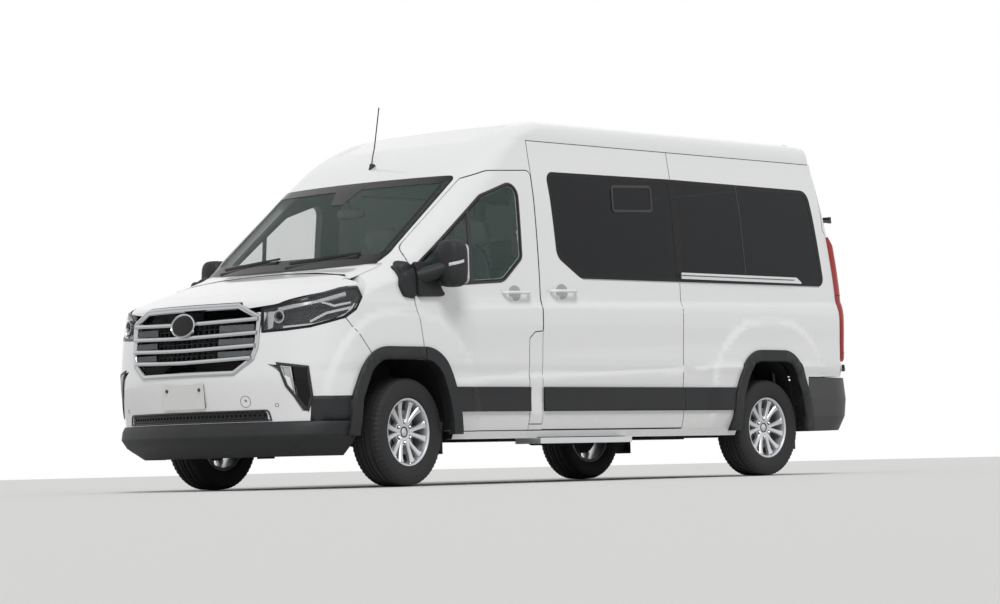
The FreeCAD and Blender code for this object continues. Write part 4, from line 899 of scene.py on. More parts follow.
SLOT_LOOK = {
    "white_paint": WHITE, "tinted_glass": TINTED, "clear_glass": CLEAR, "lamp_glass": LENS,
    "red_lamp": RED_LENS, "black_plastic": BLACK_TRIM, "chrome": CHROME, "tyre": RUBBER, "alloy": ALLOY,
    "black_steel": UNDERSIDE, "cast": CAST_IRON, "seat_fabric": FABRIC, "dash_plastic": DASH,
    "grey_plastic": GREY_TRIM, "aluminium": ALUMINIUM, "floor_lining": LINING,
}
slot_of = {part["node"]: part["material_slot"] for part in frame["record"]["subparts"]}
body_of = {node: body for body, held in frame["record"]["behaviour"]["bodies"].items() for node in held}
for name, node in nodes.items():
    for k in range(len(node.material_slots)):
        node.material_slots[k].material = SLOT_LOOK[slot_of[name]]

# Raster steps along x, y and z for each panel; 0 leaves that axis uncut
PANELS = {
    "roof": (0.16, 0.08, 0.12), "cab_frame": (0.07, 0.08, 0.06), "windscreen": (0.07, 0.08, 0.07),
    "bonnet": (0.04, 0.06, 0.04), "cowl_and_wipers": (0.09, 0.09, 0.05), "front_wings": (0.04, 0.05, 0.04),
    "front_bumper": (0.05, 0.05, 0.04), "lower_trim": (0.08, 0.10, 0.07),
    "door_trim_left": (0.05, 0.05, 0.04), "door_trim_right": (0.05, 0.05, 0.04),
    "front_door_left": (0.06, 0, 0.04), "front_door_right": (0.06, 0, 0.04),
    "front_glass_left": (0.10, 0, 0.08), "front_glass_right": (0.10, 0, 0.08),
    "sliding_door": (0.08, 0, 0.04), "side_left": (0.05, 0, 0.05), "side_right": (0.09, 0, 0.07),
    "side_windows": (0.18, 0, 0.10), "rear_frame": (0.05, 0.06, 0.08), "tail_lamps": (0.04, 0.04, 0.05),
    "rear_door_left": (0.05, 0.08, 0.07), "rear_door_right": (0.05, 0.08, 0.07),
    "rear_glass_left": (0.08, 0.08, 0.07), "rear_glass_right": (0.08, 0.08, 0.07),
    "fuel_flap": (0.04, 0.04, 0.03),
}
for name, steps in PANELS.items():
    dressed(name, body_of[name], SLOT_LOOK[slot_of[name]], steps)

# Outlines on the body, in millimetres from the front axle as in the part's source
def mm(*corners):
    """Outline corners given in millimetres, as metres."""
    return [tuple(value / 1000 for value in corner) for corner in corners]


B_SEAM, C_SEAM, RING_SEAM = 1.280, 2.756, 4.475
DOOR_BOTTOM = 0.356
SLIDING_WINDOW = rounded(mm((1435, 2100, 60), (2752, 2112, 6), (2752, 1380, 6), (1705, 1380, 120),
                            (1470, 1521, 100)))
REAR_WINDOW = rounded(mm((2760, 2112, 6), (4340, 2105, 90), (4440, 1395, 60), (2760, 1380, 6)))
FRONT_WINDOW = rounded(mm((1122, 2035, 85), (745, 1908, 80), (110, 1420, 20), (110, 1285, 20),
                          (920, 1340, 120), (1112, 1500, 60)))
WINDSCREEN = rounded(mm((-790, 1437, 60), (790, 1437, 60), (826, 1520, 60), (818, 2046, 40), (-818, 2046, 40),
                        (-826, 1520, 60)))
REAR_GLASS = rounded(mm((-770, 1400, 60), (-110, 1400, 40), (-110, 2040, 40), (-690, 2040, 90)))
FRONT_DOOR = rounded(mm((1273, 2100, 40), (860, 2078, 160), (640, 2008, 160), (190, 1655, 60), (78, 1530, 90),
                        (66, 1190), (118, 930), (134, 820), (134, 356), (1142, 356), (1142, 968, 30),
                        (1195, 1012, 20), (1273, 1019)))
FUEL_FLAP = rounded(mm((1149, 396), (1273, 396), (1273, 1012), (1200, 1005, 20), (1149, 962, 30)))
GRILLE = rounded(mm((-435, 1184, 20), (435, 1184, 20), (608, 1100, 20), (600, 900, 60), (571, 817, 20),
                    (434, 727, 20), (-434, 727, 20), (-571, 817, 20), (-600, 900, 60), (-608, 1100, 20)))
BUMPER_SEAM = np.array(mm((-556, 1072), (-440, 945), (-325, 815)))


def ribbon(width, proud, deep, across=0.0):
    """Flat section of a strip on the skin, centred across its path."""
    return [(across - width / 2, proud), (across + width / 2, proud), (across + width / 2, -deep),
            (across - width / 2, -deep)]


def inside_band(width, proud, deep, start=0.0):
    """Flat section that lies inside a closed path, from a distance in from it."""
    return [(start, proud), (start + width, proud), (start + width, -deep), (start, -deep)]


# Shut lines: a shadow line a little proud of each joint between panels
SEAM_WIDTH = 0.0055
SEAM = ribbon(SEAM_WIDTH, 0.0003, 0.006)


def ring_leg(z):
    """Where the rear ring's seam runs down the side, from the front axle."""
    return np.interp(z, [0.722, 1.300, 1.740, 1.800, 2.312], [4.600, 4.600, 4.568, 4.475, 4.475])


def shut_lines():
    """Seams of the left side, mirrored to the right; the sliding door is on the left alone."""
    b_post = [(B_SEAM, 2.309), (B_SEAM, 1.019)]
    c_post = [(C_SEAM, 2.309), (C_SEAM, DOOR_BOTTOM)]
    gutter = [(B_SEAM, GUTTER_Z - 0.003), (RING_SEAM + 0.02, GUTTER_Z - 0.003)]
    heights = np.linspace(0.74, 2.30, 40)
    leg = np.stack([ring_leg(heights), heights], 1)
    pair = [strip(path, SEAM, "side", closed=False) for path in (b_post, gutter, leg, BUMPER_SEAM)]
    left = [strip(c_post, SEAM, "side", closed=False),
            strip([(B_SEAM, DOOR_BOTTOM), (C_SEAM, DOOR_BOTTOM)], SEAM, "side", closed=False)]
    past_arch = np.argmax((FRONT_DOOR[:, 1] < 0.36) & (FRONT_DOOR[:, 0] < 0.2))
    round_door = np.concatenate([[(0.40, 0.356)], FRONT_DOOR[past_arch + 1:], FRONT_DOOR[:past_arch],
                                 [(0.134, 0.822)]])
    door_gap = strip(round_door, ribbon(0.012, -0.004, 0.012), "side", closed=False)
    flap_gap = strip(FUEL_FLAP, ribbon(0.009, -0.003, 0.010), "side")
    return joined(both(joined(*pair, door_gap)), *left, flap_gap)


add("shut_lines", shut_lines(), SATIN_BLACK)

# The bonnet's rear and side edges, traced where the skin reaches a given place along the vehicle
BONNET_REAR, BONNET_SIDE = -0.242, 0.799


def nose_line(x, ys, low, high):
    """(y, z) places of the nose view at which the skin lies at x."""
    heights = np.linspace(low, high, 60)
    points = []
    for y in ys:
        spots, _ = landed(np.full_like(heights, y), heights, "nose")
        points.append((y, np.interp(x, spots[:, 0] - FRONT_AXLE, heights)))
    return np.array(points)


rear_edge = nose_line(BONNET_REAR, np.linspace(-BONNET_SIDE, BONNET_SIDE, 33), 1.15, 1.50)
side_foot = nose_line(-0.375, [-BONNET_SIDE], 1.10, 1.50)[0]
side_edge = np.array([(-BONNET_SIDE, side_foot[1]), (-BONNET_SIDE, rear_edge[0, 1])])
bonnet_edges = joined(strip(rear_edge, ribbon(0.005, -0.001, 0.008), "nose", closed=False),
                      both(strip(side_edge, ribbon(0.006, 0.0004, 0.006), "nose", closed=False)))
add("bonnet_shut_lines", bonnet_edges, SATIN_BLACK)

# White panel between the bonnet's rear edge and the glass: its top edge, from the outer end to the middle
COWL_TOP = np.array([(0.000, 1.416), (0.366, 1.421), (0.585, 1.430), (0.685, 1.434), (0.721, 1.437),
                     (0.835, 1.440)])


def cowl_panel():
    """Band over the cowl, from the bonnet's rear edge up to a smooth line below the glass, in nine steps."""
    rows, columns = 9, 61
    y = np.linspace(-0.835, 0.835, columns)
    order = np.argsort(np.abs(COWL_TOP[:, 0]))
    high = np.interp(np.abs(y), np.abs(COWL_TOP[order, 0]), COWL_TOP[order, 1])
    low = np.interp(np.abs(y), np.abs(rear_edge[16:, 0]), rear_edge[16:, 1]) - 0.004
    low -= 0.010 * np.clip((np.abs(y) - 0.45) / 0.20, 0, 1) + 0.024 * np.clip((np.abs(y) - 0.74) / 0.06, 0, 1)
    high = np.maximum(high, low + 0.004)
    share = np.linspace(0, 1, rows)[:, None]
    z = low * (1 - share) + high * share
    layers = []
    for lift in (0.0022, -0.003):
        spots = landed(np.broadcast_to(y, z.shape).ravel(), z.ravel(), "nose", lift)[0]
        spots = spots.reshape(rows, columns, 3)
        layers.append(spots if lift > 0 else spots[::-1])
    return outward(np.concatenate(layers).reshape(-1, 3), grid_faces(2 * rows, columns, True, False))


add("cowl_panel", cowl_panel(), WHITE, sharp=None)

# Covers on the wings beside the bonnet's rear corners
WING_COVER = rounded(mm((62, 1434, 10), (0, 1446, 50), (-62, 1385, 60), (-80, 1290, 60), (-40, 1214, 40),
                        (62, 1212, 10)))
cover_rings = [(1.0, -0.008), (1.0, 0.012), (0.975, 0.022), (0.90, 0.029), (0.30, 0.032)]

# Windows: a black border printed inside each pane's edge and a rubber seal in the gap
def window_border(outline, view, width):
    """Printed border of a pane, as a band inside its outline."""
    return strip(outline, inside_band(width, 0.0008, 0.003, -0.003), view)


side_borders = joined(window_border(SLIDING_WINDOW, "side", 0.032), window_border(REAR_WINDOW, "side", 0.034))
add("side_window_borders", both(side_borders), GLOSS_BLACK)
SEAL = [(-0.007, 0.000), (-0.005, 0.0035), (0.001, 0.0045), (0.007, 0.0030), (0.008, -0.004),
        (-0.007, -0.004)]
for side_name, turn in SIDES:
    body = "front_door_" + side_name
    add("front_window_seal_" + side_name, turn(strip(FRONT_WINDOW, SEAL, "side")), SATIN_BLACK, body)
    add("front_window_border_" + side_name, turn(window_border(FRONT_WINDOW, "side", 0.022)), GLOSS_BLACK,
        body)
    divider = strip([(0.612, 1.800), (0.609, 1.326)], ribbon(0.032, 0.0045, 0.004), "side", closed=False)
    add("front_window_divider_" + side_name, turn(divider), SATIN_BLACK, body)
screen_border = joined(strip(WINDSCREEN, inside_band(0.052, 0.0008, 0.003, -0.003), "nose"),
                       strip([(-0.80, 1.470), (0.80, 1.470)], ribbon(0.075, 0.0009, 0.003), "nose",
                             closed=False))
add("windscreen_border", screen_border, GLOSS_BLACK)

# Second glass joint and the pop-out window in the sliding door's pane
GLASS_JOINT = [(3.489, 2.103), (3.511, 1.385)]
POP_OUT = rounded(mm((2100, 2032, 18), (2520, 2050, 18), (2502, 1876, 18), (2085, 1860, 18)))
pane_lines = joined(both(strip(GLASS_JOINT, ribbon(0.010, 0.0014, 0.003), "side", closed=False)),
                    strip(POP_OUT, ribbon(0.018, 0.0050, 0.003), "side"))
add("glass_joints", pane_lines, SATIN_BLACK)
add("pop_out_pane", patch(offset(POP_OUT, 0.008), "side", 0.0030, 0.003), TINTED)

# Grille: two-step chrome frame, four bars that sag a little in the middle, and a bare oval
FRAME_FACE = [(0.000, 0.000), (0.003, 0.0075), (0.014, 0.0100), (0.019, 0.0065), (0.030, 0.004),
              (0.036, -0.005), (0.036, -0.016), (0.000, -0.016)]
BAR_FACE = [(-0.016, 0.000), (-0.012, 0.012), (-0.002, 0.016), (0.010, 0.013), (0.016, 0.003),
            (0.014, -0.012), (-0.014, -0.012)]
BAR_HEIGHTS = (1.070, 0.983, 0.903, 0.826)
BAR_ENDS = (0.585, 0.580, 0.572, 0.548)


def grille_bar(height, end):
    """One bar from side to side: lowest in the middle, up 14 mm at its ends."""
    y = np.linspace(-end, end, 41)
    return strip(np.stack([y, height - 0.004 + 0.014 * np.abs(y / end) ** 1.6], 1), BAR_FACE, "nose",
                 closed=False)


chrome_frame = strip(GRILLE, FRAME_FACE, "nose")
bars = joined(*[grille_bar(height, end) for height, end in zip(BAR_HEIGHTS, BAR_ENDS)])
add("grille_frame", chrome_frame, CHROME, instead_of="grille")
add("grille_bars", bars, CHROME, instead_of="grille")


def oval(half_wide, half_high, centre_z, count=96):
    """Oval outline on the nose."""
    a = np.linspace(0, 2 * math.pi, count, endpoint=False)
    return np.stack([half_wide * np.cos(a), centre_z + half_high * np.sin(a)], 1)


BADGE = oval(0.116, 0.077, 1.056)
BADGE_RIM = [(0.000, 0.010), (0.002, 0.026), (0.009, 0.031), (0.015, 0.024), (0.017, 0.012)]
add("badge_rim", strip(BADGE, BADGE_RIM, "nose"), CHROME, instead_of="grille")
badge_face = patch(offset(BADGE, 0.010), "nose", 0.022, 0.020)
add("badge_face", badge_face, GLOSS_BLACK, instead_of="grille")

# Level ribs between the bars, near each end of the grille
def grille_plates():
    """Fine level ribs in the bays between the bars, near each end of the grille."""
    ribs = []
    for low, high in zip(BAR_HEIGHTS[1:], BAR_HEIGHTS[:-1]):
        for k in range(1, 7):
            z = low + 0.018 + (high - low - 0.036) * k / 7
            ribs.append(strip([(0.30, z), (0.555, z)],
                              [(-0.0035, -0.008), (0, 0.002), (0.0035, -0.008), (0, -0.014)], "nose",
                              closed=False))
    return both(joined(*ribs))


add("grille_ribs", grille_plates(), SILVER_PLASTIC)

# Number plate place, its screws, the tow cover and the parking sensors
PLATE = rounded(mm((-192, 525, 6), (192, 525, 6), (192, 683, 6), (-192, 683, 6)))
# x of the plate's face at its foot and at its top
PLATE_LEAN = (-1.0265, -1.0415)


def flat_plate(outline, lift, thickness):
    """Flat plate on the nose, leaning as the bumper does behind it, lifted off that plane."""
    outline = evenly(outline, 0.05)
    x = np.interp(outline[:, 1], (0.525, 0.683), PLATE_LEAN) - lift
    front = np.stack([at(x), outline[:, 0], outline[:, 1]], 1)
    back = front + (thickness, 0, 0)
    return lidded(np.concatenate([front, back]), 2, len(outline))


add("blank_plate", flat_plate(PLATE, 0.0, 0.004), PLATE_WHITE)
add("plate_border", flat_plate(offset(PLATE, 0.004), -0.0035, 0.040), SATIN_BLACK)
screws = [turned([(0, -0.004), (0.009, -0.0035), (0.0115, -0.001), (0.0115, 0.004), (0, 0.004)],
                 (at(-1.0415), y, 0.646), (1, 0, 0), 20, closed=False) for y in (-0.154, 0.154)]
add("plate_screws", joined(*screws), SATIN_BLACK)


def disc_on_nose(y, z, radius, groove, material, name):
    """Round cover let into the bumper: a thin dark ring round a flush cap."""
    a = np.linspace(0, 2 * math.pi, 40, endpoint=False)
    circle = np.stack([y + radius * np.cos(a), z + radius * np.sin(a)], 1)
    add(name, strip(circle, ribbon(groove, 0.0007, 0.003), "nose"), material)


disc_on_nose(-0.500, 0.560, 0.036, 0.003, SATIN_BLACK, "tow_cover_ring")
for k, y in enumerate((-0.709, 0.709)):
    disc_on_nose(y, 0.533, 0.011, 0.003, SATIN_BLACK, "parking_sensor_%d" % (k + 1))


# Headlamps: clear shell over a black bowl, with a projector, a grey inner panel and a bright lower blade
def on_corner(points):
    """(x, z) places of the left side as (u, z) of the corner view, found on the skin itself."""
    u = np.linspace(-0.45, 0.75, 121)
    turned_points = []
    for x, z in np.asarray(points, float):
        spots, _ = landed(u, np.full_like(u, z), "corner")
        turned_points.append((np.interp(x, spots[:, 0] - FRONT_AXLE, u), z))
    return np.array(turned_points)


def dish(outline, view, rings):
    """Closed form on the skin inside an outline, from rings of (share of the outline, lift)."""
    outline = evenly(outline, 0.02)
    return lidded(shrunk(outline, view, rings), len(rings), len(outline))


def cup(outline, view, lip, deep, share=0.86):
    """Open hollow seen from outside: its wall runs in from the lip to a floor, with a skin behind both."""
    outline = evenly(outline, 0.02)
    rings = ((1.0, lip), (share, -deep), (0.5, -deep), (0.02, -deep), (0.02, -deep - 0.003),
             (share, -deep - 0.003), (1.0, lip - 0.003))
    return outward(shrunk(outline, view, rings), grid_faces(len(rings), len(outline), True, True))


LAMP_TOP = [(-0.860, 1.166), (-0.717, 1.212), (-0.499, 1.270), (-0.392, 1.279)]
LAMP_LOW = [(-0.408, 1.205), (-0.468, 1.125), (-0.556, 1.072), (-0.760, 1.014), (-0.850, 0.998)]
LAMP_INNER_U = -0.214
lamp_path = np.concatenate([[(LAMP_INNER_U, 0.990), (LAMP_INNER_U, 1.148)], on_corner(LAMP_TOP),
                            on_corner(LAMP_LOW)])
LAMP = rounded([tuple(point) + (0.008,) for point in lamp_path], 0.006)
lamp_lens = patch(LAMP, "corner", 0.000, 0.004, 0.015)
lamp_bowl = cup(offset(LAMP, 0.002), "corner", -0.006, 0.070)
lamp_edge = strip(LAMP, [(-0.001, 0.0012), (0.013, 0.0016), (0.016, -0.002), (0.016, -0.006),
                         (-0.001, -0.006)], "corner")
for name, part, material in (("headlamp_lens", lamp_lens, LENS), ("headlamp_bowl", lamp_bowl, GLOSS_BLACK),
                             ("headlamp_border", lamp_edge, GLOSS_BLACK)):
    add(name, both(part), material, instead_of="front_lamps")

# Projectors look ahead; the blade below them is a bright line that rises to the outer end
PROJECTOR = (at(-0.845), -0.715, 1.088)
rim_profile = [(0.0, -0.012), (0.020, -0.016), (0.030, -0.010), (0.033, -0.022), (0.041, -0.022),
               (0.043, 0.004), (0.038, 0.050), (0.0, 0.050)]
add("projector_rims", both(turned(rim_profile, PROJECTOR, (1, 0.28, 0), 40, closed=False)), SATIN_CHROME)
lens_profile = [(0.0, -0.024), (0.012, -0.022), (0.022, -0.017), (0.029, -0.008), (0.029, 0.0), (0.0, 0.0)]
add("projector_lenses", both(turned(lens_profile, PROJECTOR, (1, 0.28, 0), 40, closed=False)), GLOSS_BLACK)
blade = on_corner([(-0.86, 1.022), (-0.74, 1.036), (-0.62, 1.066), (-0.54, 1.100), (-0.47, 1.165)])
add("headlamp_blades", both(strip(blade, ribbon(0.012, -0.010, 0.018), "corner", closed=False)), CHROME)
hooks = [on_corner([(-0.70, 1.190), (-0.62, 1.150), (-0.50, 1.174)]),
         on_corner([(-0.76, 1.052), (-0.67, 1.105), (-0.50, 1.140)])]
hook_strips = joined(*[strip(hook, ribbon(0.015, -0.014, 0.022), "corner", closed=False) for hook in hooks])
add("headlamp_hooks", both(hook_strips), CHROME)
brow = on_corner([(x, z - 0.030) for x, z in LAMP_TOP[:3]])
add("headlamp_brows", both(strip(brow, ribbon(0.024, -0.012, 0.022), "corner", closed=False)), SILVER_PLASTIC)
grey_panel = rounded([(LAMP_INNER_U + 0.018, 1.010), (LAMP_INNER_U + 0.018, 1.130),
                      (LAMP_INNER_U + 0.075, 1.130), (LAMP_INNER_U + 0.060, 1.025)])
add("headlamp_panels", both(patch(grey_panel, "corner", -0.030, 0.004)), SATIN_CHROME)

# Fog lamps: thin black pointed frame round a bright four-cornered reflector and a clear lens
FOG = [(-0.715, 0.803), (-0.897, 0.774), (-0.907, 0.583), (-0.881, 0.486), (-0.855, 0.510), (-0.772, 0.648)]


def nose_to_corner(points, reach=(-0.30, 0.42)):
    """(y, z) places of the nose, left of the middle, as (u, z) of the corner view."""
    u = np.linspace(*reach, 121)
    moved = []
    for y, z in np.asarray(points, float):
        spots, _ = landed(u, np.full_like(u, z), "corner")
        moved.append((np.interp(-y, -spots[:, 1], u), z))
    return np.array(moved)


fog_frame = nose_to_corner(FOG)
fog_inner = nose_to_corner([(-0.745, 0.782), (-0.812, 0.772), (-0.830, 0.560), (-0.772, 0.660)])
FOG_RIM = [(0.000, 0.0010), (0.003, 0.007), (0.014, 0.008), (0.020, 0.002), (0.020, -0.010), (0.000, -0.010)]
FOG_TRIM = [(0.000, -0.004), (0.003, 0.004), (0.010, 0.004), (0.013, -0.004), (0.013, -0.016),
            (0.000, -0.016)]
fog_parts = (("fog_lamp_frames", strip(fog_frame, FOG_RIM, "corner"), SATIN_BLACK),
             ("fog_lamp_cups", cup(fog_frame, "corner", -0.002, 0.030, 0.9), DEEP_BLACK),
             ("fog_lamp_surrounds", strip(fog_inner, FOG_TRIM, "corner"), CHROME),
             ("fog_lamp_lenses", patch(offset(fog_inner, 0.008), "corner", -0.006, 0.012), SATIN_CHROME))
for name, part, material in fog_parts:
    add(name, both(part), material, instead_of="front_lamps")
fog_cheek = nose_to_corner([(-0.818, 0.781), (-0.893, 0.773), (-0.903, 0.583), (-0.879, 0.492),
                            (-0.838, 0.545)])
add("fog_lamp_cheeks", both(patch(fog_cheek, "corner", 0.0018, 0.004)), GLOSS_BLACK)

# Lower intake: a mesh of hexagonal rings between the bumper and the lip, and level slats in the lip
LOWER_INTAKE = rounded(mm((-672, 436), (672, 436), (655, 508, 30), (-655, 508, 30)))
add("intake_frame",
    strip(LOWER_INTAKE, [(0, 0.0), (0.002, 0.006), (0.010, 0.006), (0.012, -0.010), (0, -0.010)], "nose"),
    SATIN_BLACK)


def hex_mesh():
    """Rows of hexagonal rings across the intake, as one mesh of short six-sided rims."""
    pitch, radius, width = 0.034, 0.0185, 0.0050
    a = np.linspace(0, 2 * math.pi, 7)[:-1] + math.pi / 6
    rims = []
    for row, z in enumerate((0.448, 0.4775, 0.507)):
        for y in np.arange(-0.640, 0.641, pitch) + (pitch / 2 if row % 2 else 0):
            if abs(y) < 0.650:
                ring = np.stack([y + radius * np.cos(a), z - 0.006 + radius * np.sin(a)], 1)
                rims.append(ring)
    rings = np.array(rims)
    centres = rings.mean(1, keepdims=True)
    count = len(rings)
    layers = []
    inner = 1 - width / radius
    for share, lift in ((1.0, -0.004), (inner, -0.004), (inner, -0.012), (1.0, -0.012)):
        flat = (centres + (rings - centres) * share).reshape(-1, 2)
        layers.append(landed(flat[:, 0], flat[:, 1], "nose", lift)[0].reshape(count, 6, 3))
    spots = np.stack(layers, 1).reshape(count, 24, 3)
    faces = grid_faces(4, 6, True, True)
    whole = (faces[None] + (np.arange(count) * 24)[:, None, None]).reshape(-1, 3)
    return outward(spots.reshape(-1, 3), whole)


add("intake_mesh", hex_mesh(), SATIN_BLACK)
add("intake_back", patch(offset(LOWER_INTAKE, 0.004), "nose", -0.014, 0.004), DEEP_BLACK)
slats = [strip([(-0.60, z), (0.60, z)], [(-0.004, 0.000), (-0.003, 0.007), (0.003, 0.004), (0.004, -0.004)],
               "nose", closed=False) for z in (0.345, 0.365, 0.385)]
add("lip_slats", joined(*slats), SATIN_BLACK)
lip_crease = strip([(-0.80, 0.350), (0.80, 0.350)],
                   [(-0.007, -0.001), (-0.003, 0.0035), (0.004, 0.0030), (0.009, -0.002)], "nose",
                   closed=False)
add("lip_crease", lip_crease, BLACK_TRIM)

# Wheels: tyre with grooves, shoulder blocks and ringed sidewalls; alloy rim with six pairs of spokes
# Across from the middle, radius, and 1 or 2 where the dips between blocks cut the point
TYRE_SECTION = [(0.094, 0.2055, 0), (0.096, 0.220, 0), (0.103, 0.2215, 0), (0.1065, 0.230, 0),
                (0.1085, 0.231, 0), (0.1105, 0.238, 0), (0.1150, 0.262, 0), (0.1172, 0.283, 0),
                (0.1168, 0.300, 0), (0.1160, 0.3015, 0), (0.1162, 0.3035, 0), (0.1135, 0.318, 0),
                (0.1090, 0.329, 1), (0.1020, 0.3385, 1), (0.0920, 0.3445, 1), (0.0760, 0.3468, 1),
                (0.0600, 0.3478, 0), (0.0585, 0.3405, 0), (0.0490, 0.3405, 0), (0.0475, 0.3482, 0),
                (0.0330, 0.3492, 2), (0.0190, 0.3497, 0), (0.0175, 0.3415, 0), (0.0085, 0.3415, 0),
                (0.0070, 0.3499, 0)]
BLOCKS = 64


def tyre_mesh():
    """Tyre about the Y axis: its section swept round, with blocks cut by a dip at every third step."""
    half = [(-a, r, k) for a, r, k in TYRE_SECTION]
    section = half + [(a, r, k) for a, r, k in reversed(TYRE_SECTION)]
    across, radius, kind = (np.array(v) for v in zip(*section))
    steps = np.arange(BLOCKS * 3)
    angle = steps / len(steps) * 2 * math.pi
    dip = np.zeros((len(steps), len(section)))
    dip[steps % 3 == 0] += np.where(kind == 1, 0.0055, 0)
    dip[(steps + 1) % 3 == 0] += np.where(kind == 2, 0.0045, 0)
    reach = radius[None, :] - dip
    spots = np.stack([reach * np.cos(angle)[:, None], np.broadcast_to(across, reach.shape),
                      reach * np.sin(angle)[:, None]], -1).reshape(-1, 3)
    return outward(spots, grid_faces(len(steps), len(section), True, True))


def spoke(angle, lean):
    """One spoke as a bevelled bar from the hub to the rim, its face dished in the middle."""
    reach = np.array([0.050, 0.075, 0.110, 0.150, 0.180, 0.198])
    half = np.array([0.0165, 0.0145, 0.0140, 0.0155, 0.0185, 0.0230])
    face = np.array([-0.066, -0.068, -0.070, -0.075, -0.081, -0.086])
    spots = []
    for r, w, y in zip(reach, half, face):
        section = [(-w, y + 0.030), (-w, y + 0.007), (-w + 0.005, y), (w - 0.005, y), (w, y + 0.007),
                   (w, y + 0.030)]
        spots += [(r, a, b) for a, b in section]
    spots = np.array(spots)
    radius, across, depth = spots[:, 0], spots[:, 1], spots[:, 2]
    turn = angle + lean * (0.55 + 0.45 * (radius - 0.05) / 0.148)
    x = radius * np.cos(turn) - across * np.sin(turn)
    z = radius * np.sin(turn) + across * np.cos(turn)
    return lidded(np.stack([x, depth, z], 1), len(reach), 6)


def rim_mesh():
    """Rim about the Y axis, its face towards -Y: lip, barrel, hub and spokes."""
    barrel = [(0.2175, -0.099), (0.2195, -0.096), (0.2195, -0.090), (0.206, -0.086), (0.2045, 0.090),
              (0.2195, 0.094), (0.2195, 0.099), (0.212, 0.101), (0.198, 0.094), (0.190, 0.040),
              (0.196, -0.060), (0.2005, -0.080), (0.2040, -0.093), (0.2100, -0.0985)]
    hub = [(0.0, -0.060), (0.030, -0.060), (0.040, -0.063), (0.062, -0.064), (0.084, -0.060), (0.088, -0.050),
           (0.088, -0.020), (0.0, -0.020)]
    parts = [turned(barrel, (0, 0, 0), (0, 1, 0), 96), turned(hub, (0, 0, 0), (0, 1, 0), 64, closed=False)]
    pitch = 2 * math.pi / 6
    for k in range(6):
        parts += [spoke(k * pitch, 0.225 * pitch), spoke(k * pitch, -0.225 * pitch)]
    return joined(*parts)


BOLT_CIRCLE = 0.066
BOLT_ANGLES = [(k + 0.5) * math.pi / 3 for k in range(6)]
BOLTS = [(BOLT_CIRCLE * math.cos(a), 0, BOLT_CIRCLE * math.sin(a)) for a in BOLT_ANGLES]


def hub_painted_shade_mesh():
    """Painted shade on the hub: black discs under the nuts for the shaded bolt pockets, and a dark ring at
    the centre cap's joint.
    """
    parts = [turned([(0.0295, -0.0615), (0.0320, -0.0660), (0.0345, -0.0650), (0.0345, -0.058),
                     (0.0295, -0.058)],
                    (0, 0, 0), (0, 1, 0), 40)]
    for centre in BOLTS:
        parts.append(turned([(0.0, -0.0655), (0.0115, -0.0655), (0.0125, -0.064), (0.0125, -0.055),
                             (0.0, -0.055)], centre,
                            (0, 1, 0), 20, closed=False))
    return joined(*parts)


def nut_mesh():
    """Six-sided wheel nuts and the domed centre cap."""
    parts = [turned([(0.0, -0.0700), (0.012, -0.0690), (0.024, -0.0665), (0.0285, -0.0625), (0.0, -0.055)],
                    (0, 0, 0), (0, 1, 0), 40, closed=False)]
    for centre in BOLTS:
        parts.append(turned([(0.0, -0.0725), (0.0065, -0.0725), (0.0085, -0.0700), (0.0085, -0.060),
                             (0.0, -0.060)],
                            centre, (0, 1, 0), 6, closed=False))
    return joined(*parts)


spin = {joint["child"]: joint for joint in frame["record"]["behaviour"]["joints"] if joint.get("continuous")}


def on_wheel(part, corner):
    """A wheel mesh made about the Y axis with its face to -Y, put at its axle and in line with its joint."""
    joint = spin["wheel_" + corner]
    spots, faces = part if corner.endswith("left") else mirrored(part)
    axis = np.array(joint["axis"]) / np.linalg.norm(joint["axis"])
    ahead = np.cross(axis, (0, 0, 1))
    placed_spots = spots[:, :1] * ahead + spots[:, 1:2] * axis + spots[:, 2:] * np.array((0, 0, 1))
    return placed_spots + np.array(joint["pos_m"]), faces


# The black discs on each hub are painted shade of the bolt pockets; the black ring marks the centre cap's
# joint
WHEEL_PIECES = (("tyre", tyre_mesh(), RUBBER, "tyre", 30.0), ("rim", rim_mesh(), ALLOY, "alloy", 30.0),
                ("rim_pockets", hub_painted_shade_mesh(), SATIN_BLACK, "alloy", 30.0),
                ("wheel_nuts", nut_mesh(), ALLOY, "alloy", 30.0))
for corner in CORNERS:
    for name, part, material, slot, sharp in WHEEL_PIECES:
        replaced = ("tyre_" if name == "tyre" else "rim_") + corner
        add(name + "_dressed_" + corner, on_wheel(part, corner), material, "wheel_" + corner, sharp,
            replaced)


# Door mirrors: foot over the window's corner, thick arm, rounded head, clear indicator band and glass
MIRROR_HEAD = (at(0.290), -1.136, 1.432)
MIRROR_HALF = (0.074, 0.0935, 0.153)
MIRROR_FOOT = rounded(mm((82, 1218, 16), (78, 1428, 12), (205, 1440, 40), (262, 1400, 30), (262, 1330, 30),
                         (300, 1262, 30), (330, 1226, 8)))


def head_form(p):
    """The mirror head's form: narrower below and drawn in at its inner lower edge, its front face bowed."""
    low = np.clip(-p[:, 2], 0, 1)
    p[:, 0] *= 1 - 0.10 * low ** 2
    p[:, 1] = p[:, 1] * (1 - 0.10 * low ** 2) - 0.05 * low
    p[:, 0] -= 0.16 * (1 - np.abs(p[:, 1])) * (p[:, 0] < 0)
    return p


